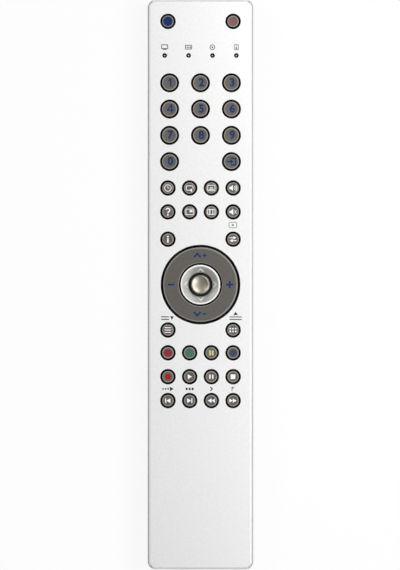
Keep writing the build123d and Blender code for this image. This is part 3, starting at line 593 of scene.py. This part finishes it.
def stroke(points, thick):
    # the outline of an open bent line, mitred at its corners
    left, right = [], []
    for i, point in enumerate(points):
        before = Vector(points[max(i - 1, 0)])
        after = Vector(points[min(i + 1, len(points) - 1)])
        here = Vector(point)
        first = (here - before).normalized() if i else (after - here).normalized()
        second = (after - here).normalized() if i < len(points) - 1 else first
        normal = Vector((-first.y - second.y, first.x + second.x)).normalized()
        reach = thick / 2 / max(normal.dot(Vector((-first.y, first.x))), 0.35)
        left.append(tuple(here + normal * reach))
        right.append(tuple(here - normal * reach))
    return left + right[::-1]


def flatShape(figures):
    # a figure is one loop of points, or an outer loop with those of its holes
    bm = bmesh.new()
    for figure in figures:
        loops = [figure] if isinstance(figure[0], tuple) else figure
        part = bmesh.new()
        rings = [[part.verts.new((x * mm, y * mm, 0)) for x, y in loop] for loop in loops]
        fillWithHoles(part, rings)
        holder = bpy.data.meshes.new("holder")
        part.to_mesh(holder)
        part.free()
        bm.from_mesh(holder)
        bpy.data.meshes.remove(holder)
    return bm


def textShape(text, heightMm, boldMm):
    # a numeral or sign from the built-in face, scaled to its printed height
    curve = bpy.data.curves.new("sign", "FONT")
    curve.body = text
    curve.resolution_u = 8
    holder = addObject("sign", curve)
    plain = bpy.data.meshes.new_from_object(holder)
    tall = max(v.co.y for v in plain.vertices) - min(v.co.y for v in plain.vertices)
    bpy.data.meshes.remove(plain)
    curve.offset = boldMm / heightMm * tall / 2
    made = bpy.data.meshes.new_from_object(holder.evaluated_get(bpy.context.evaluated_depsgraph_get()))
    bm = bmesh.new()
    bm.from_mesh(made)
    xs = [v.co.x for v in bm.verts]
    ys = [v.co.y for v in bm.verts]
    scale = heightMm * mm / (max(ys) - min(ys))
    middle = ((max(xs) + min(xs)) / 2, (max(ys) + min(ys)) / 2)
    for vert in bm.verts:
        vert.co = ((vert.co.x - middle[0]) * scale, (vert.co.y - middle[1]) * scale, 0)
    bpy.data.objects.remove(holder)
    bpy.data.curves.remove(curve)
    bpy.data.meshes.remove(made)
    bmesh.ops.remove_doubles(bm, verts=bm.verts, dist=1e-7)
    return bm


def printPiece(name, bm, centre, heightAt, body, inkName, slotName):
    # lays a flat shape on a surface, whose height is given from the centre, and gives it its thickness
    bmesh.ops.triangulate(bm, faces=bm.faces)
    for attempt in range(3):
        longEdges = [e for e in bm.edges if e.calc_length() > inkLook["maxEdge"]]
        if not longEdges:
            break
        bmesh.ops.subdivide_edges(bm, edges=longEdges, cuts=1)
        bmesh.ops.triangulate(bm, faces=bm.faces)
    made = bmesh.ops.extrude_face_region(bm, geom=list(bm.faces))
    lifted = {v for v in made["geom"] if isinstance(v, bmesh.types.BMVert)}
    for vert in bm.verts:
        height = heightAt(vert.co.x, vert.co.y)
        thick = inkLook["proud"] if vert in lifted else -inkLook["root"]
        vert.co = (vert.co.x + centre[0], vert.co.y + centre[1], height + thick)
    finishPiece(name, bm, body, slotName, 50, inks[inkName])


def onKey(name, shapes, inkName, tag="legend", shift=(0.0, 0.0)):
    # a legend on a key's dished top, moved off its centre by the shift
    top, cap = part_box(name)[1].z, capRadius(name)
    bm = shapes if isinstance(shapes, bmesh.types.BMesh) else flatShape(shapes)
    for vert in bm.verts:
        vert.co.x += shift[0] * mm
        vert.co.y += shift[1] * mm
    printPiece(f"{name}_{tag}", bm, centreOf(name), lambda dx, dy: top - dishDepth(cap, math.hypot(dx, dy)),
               name, inkName, "key_plastic")


def onFace(name, shapes, x, y, inkName):
    # a legend on the silver face, at a place in millimetres
    printPiece(name, flatShape(shapes), (x * mm, y * mm), lambda dx, dy: faceZ, "root", inkName,
               "silver_cover")


digitLook = {"height": 3.5, "bold": 0.32, "shift": (0.36, 0.2)}
# widths of the drawn lines
line, fine = 0.28, 0.24


def tri(x, y, size, direction=1):
    return [(x - direction * size * 0.5, y + size * 0.62), (x + direction * size * 0.55, y),
            (x - direction * size * 0.5, y - size * 0.62)]


def speaker(mouth, half):
    return [(-1.5, 0.5), (-0.85, 0.5), (mouth, half), (mouth, -half), (-0.85, -0.5), (-1.5, -0.5)]


def arcBand(outer, inner, half):
    middle = (-0.1, 0.0)
    return arcPoints(middle, outer, -half, half, 18) + arcPoints(middle, inner, half, -half, 18)


# the built-in face gives the one a foot and closes the hole of the four, so these two are drawn
drawnDigits = {
    1: [[(-0.95, 0.78), (0.02, 1.72), (0.42, 1.72), (0.42, -1.72), (-0.22, -1.72), (-0.22, 0.82),
         (-0.6, 0.46)]],
    4: [[[(0.2, 1.72), (0.85, 1.72), (0.85, -0.4), (1.4, -0.4), (1.4, -0.95), (0.85, -0.95),
          (0.85, -1.72), (0.25, -1.72), (0.25, -0.95), (-1.45, -0.95), (-1.45, -0.5)],
         [(0.25, 0.85), (-0.72, -0.4), (0.25, -0.4)]]],
}
for digit in range(10):
    shapes = drawnDigits.get(digit) or textShape(str(digit), digitLook["height"], digitLook["bold"])
    onKey(f"key_{digit}", shapes, "Navy", shift=digitLook["shift"])

# source: an arrow into a frame
onKey("key_source", [
    stroke([(-0.2, 1.35), (1.85, 1.35), (1.85, -1.35), (-0.2, -1.35)], 0.55),
    [(-2.1, -0.26), (-0.5, -0.26), (-0.5, -1.0), (0.95, 0.0), (-0.5, 1.0), (-0.5, 0.26), (-2.1, 0.26)],
], "Navy")

smallLegends = {
    "key_timer": [[circle(1.5), circle(1.5 - line)], stroke([(0, 0.85), (0, -0.1), (0.65, -0.1)], fine)],
    "key_repeat": [stroke([(0.35, -0.95), (-1.1, -0.95), (-1.45, -0.5), (-1.45, 0.5), (-1.1, 0.95),
                           (1.1, 0.95), (1.45, 0.5), (1.45, -0.35)], line), tri(0.45, -0.95, 1.2, -1)],
    "key_subtitle": [frameBar(3.3, 2.6, line, 0.5), bar(-1.0, -0.72, 1.0, -0.36),
                     bar(-0.6, -0.08, 0.6, 0.28)],
    "key_sound": [speaker(-0.05, 1.25), arcBand(1.15, 0.8, 50), arcBand(1.85, 1.5, 45)],
    "key_picture_in_picture": [frameBar(3.4, 2.6, line, 0.4), bar(0.0, -0.15, 1.2, 0.75)],
    "key_aspect": [frameBar(3.4, 2.4, line, 0.4), bar(-0.8, -0.9, -0.45, 0.9), bar(0.45, -0.9, 0.8, 0.9)],
    "key_mute": [speaker(0.1, 1.35), stroke([(0.5, 0.7), (1.0, 0.14), (1.5, 0.7)], fine),
                 stroke([(0.5, -0.7), (1.0, -0.14), (1.5, -0.7)], fine)],
    "key_swap": [bar(-1.45, 0.4, 0.2, 0.78), tri(0.75, 0.59, 1.15), bar(-0.2, -0.78, 1.45, -0.4),
                 tri(-0.75, -0.59, 1.15, -1)],
    "key_menu": [bar(-1.35, y - 0.17, 1.35, y + 0.17) for y in (-1.0, 0.0, 1.0)],
    "key_guide": [bar(x - 0.31, y - 0.31, x + 0.31, y + 0.31)
                  for x in (-1.15, 0.0, 1.15) for y in (-0.58, 0.58)],
    "key_play": [tri(0.08, 0.0, 1.65)],
    "key_pause": [bar(-0.9, -0.92, -0.32, 0.92), bar(0.32, -0.92, 0.9, 0.92)],
    "key_stop": [bar(-0.98, -0.98, 0.98, 0.98)],
    "key_skip_back": [bar(-1.15, -0.98, -0.7, 0.98), tri(0.25, 0.0, 1.6, -1)],
    "key_skip_forward": [bar(0.7, -0.98, 1.15, 0.98), tri(-0.25, 0.0, 1.6)],
    "key_rewind": [tri(-0.65, 0.0, 1.5, -1), tri(0.85, 0.0, 1.3, -1)],
    "key_fast_forward": [tri(0.65, 0.0, 1.5), tri(-0.85, 0.0, 1.3)],
    "key_info": [circle(0.38, 0.0, 1.1), bar(-0.32, -1.4, 0.32, 0.42)],
}
for keyName, shapes in smallLegends.items():
    onKey(keyName, shapes, "White")
questionHook = arcPoints((0.0, 0.72), 0.8, 170, -45, 18) + [(0.06, -0.12), (0.0, -0.62)]
onKey("key_help", [stroke(questionHook, 0.48), bar(-0.3, -1.55, 0.3, -1.0)], "White")

colourFaces = {
    "key_mode": ([circle(2.05)], "Blue"),
    "key_standby": ([circle(1.65)], "DullRed"),
    "key_red": ([circle(1.8, squeeze=0.84)], "Crimson"),
    "key_green": ([circle(1.78)], "Green"),
    "key_yellow": ([bar(-0.95, -1.1, -0.2, 1.1), bar(0.2, -1.1, 0.95, 1.1)], "Yellow"),
    "key_blue": ([circle(1.6)], "SlateBlue"),
    "key_record": ([circle(1.25)], "Red"),
}
for keyName, (shapes, colour) in colourFaces.items():
    onKey(keyName, shapes, colour, "colour")

# small signs on the silver face, over the lamps first
ledLabels = [
    [frameBar(2.9, 1.9, 0.32, cy=0.2), bar(-0.8, -1.15, 0.8, -0.85)],
    [frameBar(2.9, 1.9, 0.32), bar(-0.85, -0.2, 0.15, 0.14), circle(0.3, 0.75, -0.05)],
    [[circle(1.15), circle(0.83)], circle(0.36)],
    [frameBar(2.0, 2.4, 0.32), circle(0.42, 0.0, -0.38), circle(0.24, 0.0, 0.55)],
]
for number, (x, shapes) in enumerate(zip(lampXs, ledLabels)):
    onFace(f"lampSign{number + 1}", shapes, x / mm, lampRowY / mm + 3.5,
           "DarkGrey" if number < 3 else "PaleGrey")

ringYmm = ringY / mm
menuX, menuY = 13.9, ringYmm - 14.1
onFace("menuSign", [bar(-2.6, y - 0.2, 0.7, y + 0.2) for y in (-0.55, 0.55)]
       + [[(1.1, 0.75), (2.65, 0.75), (1.87, -0.7)]], -menuX, menuY, "DarkGrey")
onFace("topMenuSign", [bar(-2.6, y - 0.2, 2.6, y + 0.2) for y in (-0.6, 0.5)]
       + [[(-0.95, 1.3), (0.95, 1.3), (0.0, 2.7)]], menuX + 0.9, menuY, "DarkGrey")
onFace("screenSign", [frameBar(3.5, 2.6, 0.28, 0.7), circle(0.45)], 13.6, ringYmm + 25.05, "PaleGrey")
signY = ringYmm - 43.9
rowSigns = {
    "scanSign": ("key_skip_back", [circle(0.36, x, 0.0, 20) for x in (-2.0, -0.95, 0.1)]
                 + [tri(1.6, 0.0, 1.5)], "DarkGrey"),
    "patternSign": ("key_skip_forward", [bar(x - 0.4, -0.5, x + 0.4, 0.5) for x in (-1.25, 0.0, 1.25)],
                    "DarkGrey"),
    "stepSign": ("key_rewind", [stroke([(-0.45, 0.85), (0.45, 0.0), (-0.45, -0.85)], 0.4)], "DarkGrey"),
    "flagSign": ("key_fast_forward", [bar(-0.6, -0.95, -0.26, 0.95),
                                      [(-0.26, 0.95), (0.75, 0.5), (-0.26, 0.05)]], "PaleGrey"),
}
for signName, (keyName, shapes, inkName) in rowSigns.items():
    onFace(signName, shapes, centreOf(keyName)[0] / mm, signY, inkName)
print("legends made")


# Rocker ring, dish and joystick
rockerLook = inMetres(outer=15.75, bore=9.05, bevelWidth=0.7, bevelDepth=0.4, innerBevel=0.25,
                      outerWall=1.2, innerWall=0.85, top=1.5, innerSkirt=2.6, skirt=4.15, lugInner=11.8,
                      lugOuter=13.2, lugHalf=1.5, lugBevel=0.2, support=0.3)
ringTop = ringHigh.z
# the ring's rounded outer shoulder and inner lip, as shares of the bevel: in from the side and down
ringShoulder = ((0.0, 1.4), (0.12, 0.8), (0.45, 0.32), (0.8, 0.08), (1.0, 0.0))
ringLip = ((1.0, 0.0), (0.35, 0.25), (0.0, 0.8))


def makeRocker():
    look = rockerLook
    outer, bore, width, depth = look["outer"], look["bore"], look["bevelWidth"], look["bevelDepth"]
    lip, outerWall, innerWall = look["innerBevel"], outer - look["outerWall"], bore + look["innerWall"]
    under, skirt, innerSkirt = (ringTop - look[key] for key in ("top", "skirt", "innerSkirt"))
    profile = [(outerWall, under), (outerWall, skirt), (outer, skirt)]
    profile += [(outer - inward * width, ringTop - down * depth) for inward, down in ringShoulder]
    profile += [(outer - width - look["support"], ringTop), (bore + lip + look["support"], ringTop)]
    profile += [(bore + inward * lip, ringTop - down * lip) for inward, down in ringLip]
    profile += [(bore, innerSkirt), (innerWall, innerSkirt), (innerWall, under)]
    bm = bmesh.new()
    lathe(bm, profile, ringCentre, 256, closed=True)
    piece = finishPiece("rockerRingFace", bm, "rocker", "key_plastic", 35)
    # painted highlight: the ring's rounded shoulder and lip take the paler rim lacquer
    shadeWhere(piece, keyRimPaintedHighlight, lambda at, normal: at.z < ringTop - 0.05 * depth)
    # painted shade: the ring's walls below the bevel and the foot of its lip are near-black
    shadeWhere(piece, keyBareAbsAndPaintedShade, lambda at, normal: at.z < ringTop - depth
               or (at.z < ringTop - 0.9 * lip and away(at, ringCentre) < bore + lip))
    # the two lugs that hang on the pivot ring
    bm = bmesh.new()
    for side in (-1, 1):
        near, far = sorted((ringY + side * look["lugInner"], ringY + side * look["lugOuter"]))
        addBox(bm, (-look["lugHalf"], near, ringLow.z), (look["lugHalf"], far, under))
    bmesh.ops.bevel(bm, geom=list(bm.edges), offset=look["lugBevel"], segments=2, affect="EDGES")
    finishPiece("rockerRingLugs", bm, "rocker", "key_plastic", material=keyBareAbsAndPaintedShade)
    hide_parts("rocker_ring")


def onRing(name, shapes, x, y):
    printPiece(name, flatShape(shapes), (x * mm, ringY + y * mm), lambda dx, dy: ringTop, "rocker", "Navy",
               "key_plastic")


makeRocker()
legendRadius = 12.3
onRing("ringSignUp", [stroke([(-2.75, -0.8), (-1.35, 0.75), (0.05, -0.8)], 0.75),
                      bar(0.9, -0.26, 2.6, 0.26), bar(1.49, 0.26, 2.01, 0.85),
                      bar(1.49, -0.85, 2.01, -0.26)], 0.0, legendRadius)
onRing("ringSignDown", [stroke([(-2.75, 0.8), (-1.35, -0.75), (0.05, 0.8)], 0.75),
                        bar(0.9, -0.26, 2.6, 0.26)], 0.0, -legendRadius)
onRing("ringSignMinus", [bar(-1.35, -0.38, 1.35, 0.38)], -legendRadius, 0.0)
onRing("ringSignPlus", [bar(-1.45, -0.4, 1.45, 0.4), bar(-0.4, 0.4, 0.4, 1.45),
                        bar(-0.4, -1.45, 0.4, -0.4)], legendRadius, 0.0)

dishLook = inMetres(radius=8.5, bevel=0.2, rim=0.9, rimStart=0.3, hole=5.05, holeLip=0.25, wall=1.1,
                    under=0.8, bulge=0.03, depth=1.2, support=0.1, ridge=0.2, ridgeWidth=0.25,
                    ridgeTip=6.5, ridgeFoot=5.4, ridgeHalf=1.15, pinRadius=0.5, pinStart=8.3, pinRise=2.2)
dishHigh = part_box("centre_dish")[1]
slopeTop = dishLook["radius"] - dishLook["bevel"] - dishLook["rim"]


def dishHeight(radius):
    # the slope from the rim down to the hole bulges a little: a parabola through three points
    share = (radius - dishLook["hole"]) / (slopeTop - dishLook["hole"])
    return dishHigh.z - (dishLook["depth"] - dishLook["bulge"] * 4 * share) * (1 - share)


def ridgeLift(radius, angle):
    # four moulded arrowheads: the distance to each bent line sets the lift
    best = width = dishLook["ridgeWidth"]
    tip = Vector((dishLook["ridgeTip"], 0.0))
    run = Vector((dishLook["ridgeFoot"], dishLook["ridgeHalf"])) - tip
    for quarter in range(4):
        turned = angle - quarter * tau / 4
        offset = Vector((math.cos(turned), abs(math.sin(turned)))) * radius - tip
        share = min(max(offset.dot(run) / run.length_squared, 0.0), 1.0)
        best = min(best, (offset - run * share).length)
    return dishLook["ridge"] * 0.5 * (1 + math.cos(math.pi * best / width))


def makeDish():
    look, top = dishLook, dishHigh.z
    radius, bevel = look["radius"], look["bevel"]
    hole, wall = look["hole"], look["wall"]
    support, rimStart = look["support"], slopeTop + look["rimStart"]
    lowZ = top - look["depth"]
    underZ = lowZ - look["under"]
    profile = [(hole + support, underZ), (radius - wall, underZ), (radius - wall, boardTop),
               (radius, boardTop), (radius, top - bevel * 1.4), (radius - 0.25 * bevel, top - 0.5 * bevel),
               (radius - bevel, top), (radius - bevel - support, top), (rimStart, top),
               (slopeTop + support, top)]
    bm = bmesh.new()
    steps, count = 320, 36
    rings = [ringOf(bm, r, z, ringCentre, steps) for r, z in profile]
    for step in range(count + 1):
        r = slopeTop - (slopeTop - hole) * step / count
        ring = ringOf(bm, r, dishHeight(r), ringCentre, steps)
        if 0 < step < count:
            for turn, vert in enumerate(ring):
                vert.co.z += ridgeLift(r, tau * turn / steps)
        rings.append(ring)
    rings.append(ringOf(bm, hole, lowZ - look["holeLip"], ringCentre, steps))
    skinAll(bm, rings + rings[:1])
    # the two pins of the pivot ring
    pin, start, end = look["pinRadius"], look["pinStart"], dishHigh.x
    for side in (-1, 1):
        made = bmesh.ops.create_cone(bm, cap_ends=True, segments=24, radius1=pin, radius2=pin, depth=1.0)
        for vert in made["verts"]:
            along = start + (end - start) * (vert.co.z + 0.5)
            vert.co = (side * along, ringY + vert.co.x, boardTop + look["pinRise"] + vert.co.y)
    dish = finishPiece("dishHollow", bm, "root", "silver_dish", 45)
    crest, rimTop = 0.4 * look["ridge"], top - 0.1 * bevel
    # painted highlight: the flat top of the rim and the crests of the arrowheads are near-white
    shadeWhere(dish, dishPaintedHighlight, lambda at, normal: at.z > rimTop and away(at, ringCentre) > rimStart)
    shadeWhere(dish, dishPaintedHighlight, lambda at, normal: hole < away(at, ringCentre) < slopeTop and at.z > lowZ
               and ridgeLift(away(at, ringCentre), math.atan2(at.y - ringY, at.x)) > crest)
    # painted shade: the dish's outer bevel and wall, and the lip of its hole, are near-black
    shadeWhere(dish, keyBareAbsAndPaintedShade, lambda at, normal: at.z < lowZ - 0.01 * mm
               or (away(at, ringCentre) > radius - bevel and at.z < rimTop))
    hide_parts("centre_dish")


knobLook = inMetres(foot=3.6, height=2.5, crest=3.45, cup=0.55, stem=1.0, footInset=0.15, footRise=0.12)
# inset and drop down the edge, which falls away gently at first and so gives the knob its bright rim
knobEdge = ((0.02, 0.75), (0.0, 0.6), (0.02, 0.45), (0.08, 0.29), (0.17, 0.175), (0.25, 0.12), (0.35, 0.07),
            (0.45, 0.035), (0.55, 0.012))
cupSteps = 14
knobLow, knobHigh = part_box("joystick_knob")


def makeKnob():
    # a turned knob with a cupped top, on its stem
    look = knobLook
    top, crest, cup = knobHigh.z, look["crest"], look["cup"]
    radius = (knobHigh.x - knobLow.x) / 2
    sphere = (crest ** 2 + cup ** 2) / (2 * cup)
    foot = top - look["height"]
    profile = [(0.0, knobLow.z), (look["stem"], knobLow.z), (look["stem"], foot),
               (look["foot"] - look["footInset"], foot), (look["foot"], foot + look["footRise"])]
    profile += [(radius - inset * mm, top - drop * mm) for inset, drop in knobEdge]
    for step in range(cupSteps + 1):
        distance = crest * (1 - step / cupSteps)
        profile.append((distance, top - cup + sphere - math.sqrt(sphere ** 2 - distance ** 2)))
    bm = bmesh.new()
    lathe(bm, profile, ringCentre, 160)
    knob = finishPiece("joystickKnobCup", bm, "joystick_knob", "knob_metal", 35)
    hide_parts("joystick_knob")


makeDish()
makeKnob()
print("ring, dish and joystick made")


# Keypad mat: a sheet, and a dome under every key, each dome a piece with its own mesh
matLook = inMetres(sheet=1.0, dome=2.9, overlap=0.05, boss=1.9, bossHeight=0.7, bossEdge=0.1, web=0.4,
                   ringHole=13.5, lampHole=1.6, travel=0.8, ringDome=1.2, ringDomeHeight=1.0,
                   ringDomeAt=14.85)
matLow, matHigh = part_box("keypad_mat")
sheetTop = boardTop + matLook["sheet"]


def makeMatSheet():
    bm = bmesh.new()
    domeFoot = matLook["dome"] - matLook["overlap"]
    holes = [(centreOf(name), domeFoot, 32) for name in keyNames]
    holes.append((ringCentre, matLook["ringHole"], 96))
    holes.extend(((x, lampRowY), matLook["lampHole"], 24) for x in lampXs)
    corners = bar(matLow.x, matLow.y, matHigh.x, matHigh.y)
    levels = []
    for z in (boardTop, sheetTop):
        loops = [[bm.verts.new((x, y, z)) for x, y in corners]]
        loops += [ringOf(bm, radius, z, centre, steps) for centre, radius, steps in holes]
        fillWithHoles(bm, loops)
        levels.append(loops)
    for lowLoop, highLoop in zip(*levels):
        skin(bm, lowLoop, highLoop)
    sheet = finishPiece("matSheet", bm, "root", "mat_rubber")
    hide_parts("keypad_mat")


def makeDome(name, profile, centre, steps):
    bm = bmesh.new()
    lathe(bm, profile, centre, steps)
    return finishPiece(name, bm, "root", "mat_rubber")


def makeDomes():
    # each dome stands on the sheet under its key; one under the ring keeps 0.3 of its height at full tilt
    look = matLook
    top, boss, edge, web = matHigh.z, look["boss"], look["bossEdge"], look["web"]
    bossFoot = top - look["bossHeight"]
    keyDome = [(0.0, top), (boss - edge, top), (boss, top - edge), (boss, bossFoot),
               (look["dome"], sheetTop), (look["dome"] - look["overlap"] - web, sheetTop),
               (boss - web, bossFoot - web), (0.0, bossFoot - web)]
    for name in keyNames:
        dome = makeDome("matDome_" + name, keyDome, centreOf(name), 36)
        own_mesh(dome)
    top, radius = sheetTop + look["ringDomeHeight"], look["ringDome"]
    ringDome = [(0.0, top), (radius - edge, top), (radius, top - edge), (radius, sheetTop), (0.0, sheetTop)]
    for quarter in range(4):
        angle = tau * quarter / 4
        where = (look["ringDomeAt"] * math.cos(angle), ringY + look["ringDomeAt"] * math.sin(angle))
        dome = makeDome(f"matRingDome{quarter + 1}", ringDome, where, 28)
        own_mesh(dome)


makeMatSheet()
makeDomes()
print("keypad mat made")


# Light guide: a bar under the face with a rod up into each recess; its frosted tip is painted white, which
# also stands in for a highlight, and the rod round it in the recess is painted shade
guideLook = inMetres(barThick=0.8, barHalf=1.5, barBevel=0.12, rod=0.35, tipRound=0.12, frost=0.2)


def makeGuide():
    look = guideLook
    bm = bmesh.new()
    half = look["barHalf"]
    addBox(bm, (lampXs[0] - half, lampRowY - half, ceiling - look["barThick"]),
           (lampXs[-1] + half, lampRowY + half, ceiling))
    bmesh.ops.bevel(bm, geom=list(bm.edges), offset=look["barBevel"], segments=2, affect="EDGES")
    for x in lampXs:
        profile = [(0.0, lampLow.z), (look["rod"], lampLow.z)]
        profile += arcPoints((look["rod"] - look["tipRound"], faceZ - look["tipRound"]),
                             look["tipRound"], 0, 90, 5)
        lathe(bm, profile + [(look["frost"], faceZ), (0.0, faceZ)], (x, lampRowY), 28)
    guide = finishPiece("lightGuideRods", bm, "root", "clear_plastic")

    def fromRod(at):
        return min(away(at, (x, lampRowY)) for x in lampXs)

    # the frosted tip is painted white, which also stands in for the lens's highlight
    shadeWhere(guide, inks["White"], lambda at, normal: at.z > faceZ - 0.01 * mm
               and fromRod(at) < look["frost"])
    # painted shade: the rod's top round the frost, down the recess, is near-black
    shadeWhere(guide, insideAbsAndPaintedShade, lambda at, normal: at.z > faceZ - coverLook["lampRecess"]
               and fromRod(at) > look["frost"])
    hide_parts("light_guide")


makeGuide()
print("light guide made")


# Floor, light and camera, in metres but for the drop of the floor
stageLook = {"floor": "#F0F0F0", "whiten": 0.9, "world": 0.35, "floorDrop": 0.05, "flat": 0.5,
             "wallRadius": 8.0, "wallHeight": 3.0, "lampAim": (0.0, -0.01, 0.0)}
lamps = {
    "keySoftbox": {"place": (0.14, 0.15, 0.32), "size": (0.17, 0.09), "watts": 0.515},
    "sideSoftbox": {"place": (0.175, -0.08, 0.32), "size": (0.17, 0.09), "watts": 0.54},
    "farSoftbox": {"place": (-0.5, 0.38, 0.75), "size": (0.3, 0.3), "watts": 1.7},
}


def seenRay(tree):
    # one for the rays that show the background, straight or in metal or glass, and zero for the light
    path = addNode(tree, "ShaderNodeLightPath")
    mirrored = addSum(tree, "MAXIMUM", path.outputs["Is Camera Ray"], path.outputs["Is Glossy Ray"])
    return addSum(tree, "MAXIMUM", mirrored, path.outputs["Is Transmission Ray"])


def makeFloor():
    # a round sweep: the floor turns up into a wall far behind the object
    bm = bmesh.new()
    low, wall = -stageLook["floorDrop"] * mm, stageLook["wallRadius"]
    lathe(bm, [(0.0, low), (stageLook["flat"], low), (0.85 * wall, low), (0.95 * wall, 0.04 * wall),
               (wall, 0.12 * wall), (wall, stageLook["wallHeight"])], (0.0, 0.0), 64)
    mesh = bpy.data.meshes.new("studioFloor")
    bm.to_mesh(mesh)
    bm.free()
    material, tree, shader = newMaterial("floorPaper", stageLook["floor"], 0.9)
    share = addSum(tree, "MULTIPLY", seenRay(tree), stageLook["whiten"])
    white = addNode(tree, "ShaderNodeEmission", {"Color": (1, 1, 1, 1), "Strength": 1.0})
    both = addNode(tree, "ShaderNodeMixShader", {0: share, 1: shader.outputs[0], 2: white.outputs[0]})
    tree.links.new(both.outputs[0], tree.nodes["Material Output"].inputs["Surface"])
    mesh.materials.append(material)
    floor = addObject("studioFloor", mesh)


def makeLamp(name, place, size, watts):
    lamp = bpy.data.lights.new(name, "AREA")
    lamp.shape = "RECTANGLE"
    lamp.size, lamp.size_y = size
    lamp.energy = watts
    holder = addObject(name, lamp)
    holder.location = place
    toward = Vector(stageLook["lampAim"]) - Vector(place)
    holder.rotation_euler = toward.to_track_quat("-Z", "Y").to_euler()


def makeStage():
    scene = bpy.context.scene
    makeFloor()
    scene.world = bpy.data.worlds.new("studioAir")
    scene.world.use_nodes = True
    background = scene.world.node_tree.nodes["Background"]
    background.inputs["Color"].default_value = (1, 1, 1, 1)
    background.inputs["Strength"].default_value = stageLook["world"]
    for name, lamp in lamps.items():
        makeLamp(name, **lamp)
    scene.view_settings.view_transform = "Standard"


cameraLook = {"distance": 2.6, "sensor": 24.0, "frameHeight": 570, "mmPerPixel": 0.42076,
              "x": -0.2, "y": -0.17}


def makeCamera():
    # straight down on the face, far enough away to see next to nothing of the sides
    camera = bpy.data.cameras.new("camera")
    camera.sensor_fit = "VERTICAL"
    camera.sensor_width = camera.sensor_height = cameraLook["sensor"]
    seen = cameraLook["frameHeight"] * cameraLook["mmPerPixel"] * mm
    camera.lens = cameraLook["sensor"] * (cameraLook["distance"] - faceZ) / seen
    holder = addObject("camera", camera)
    holder.location = (cameraLook["x"] * mm, cameraLook["y"] * mm, cameraLook["distance"])
    bpy.context.scene.camera = holder


makeStage()
makeCamera()
print("stage and camera made")
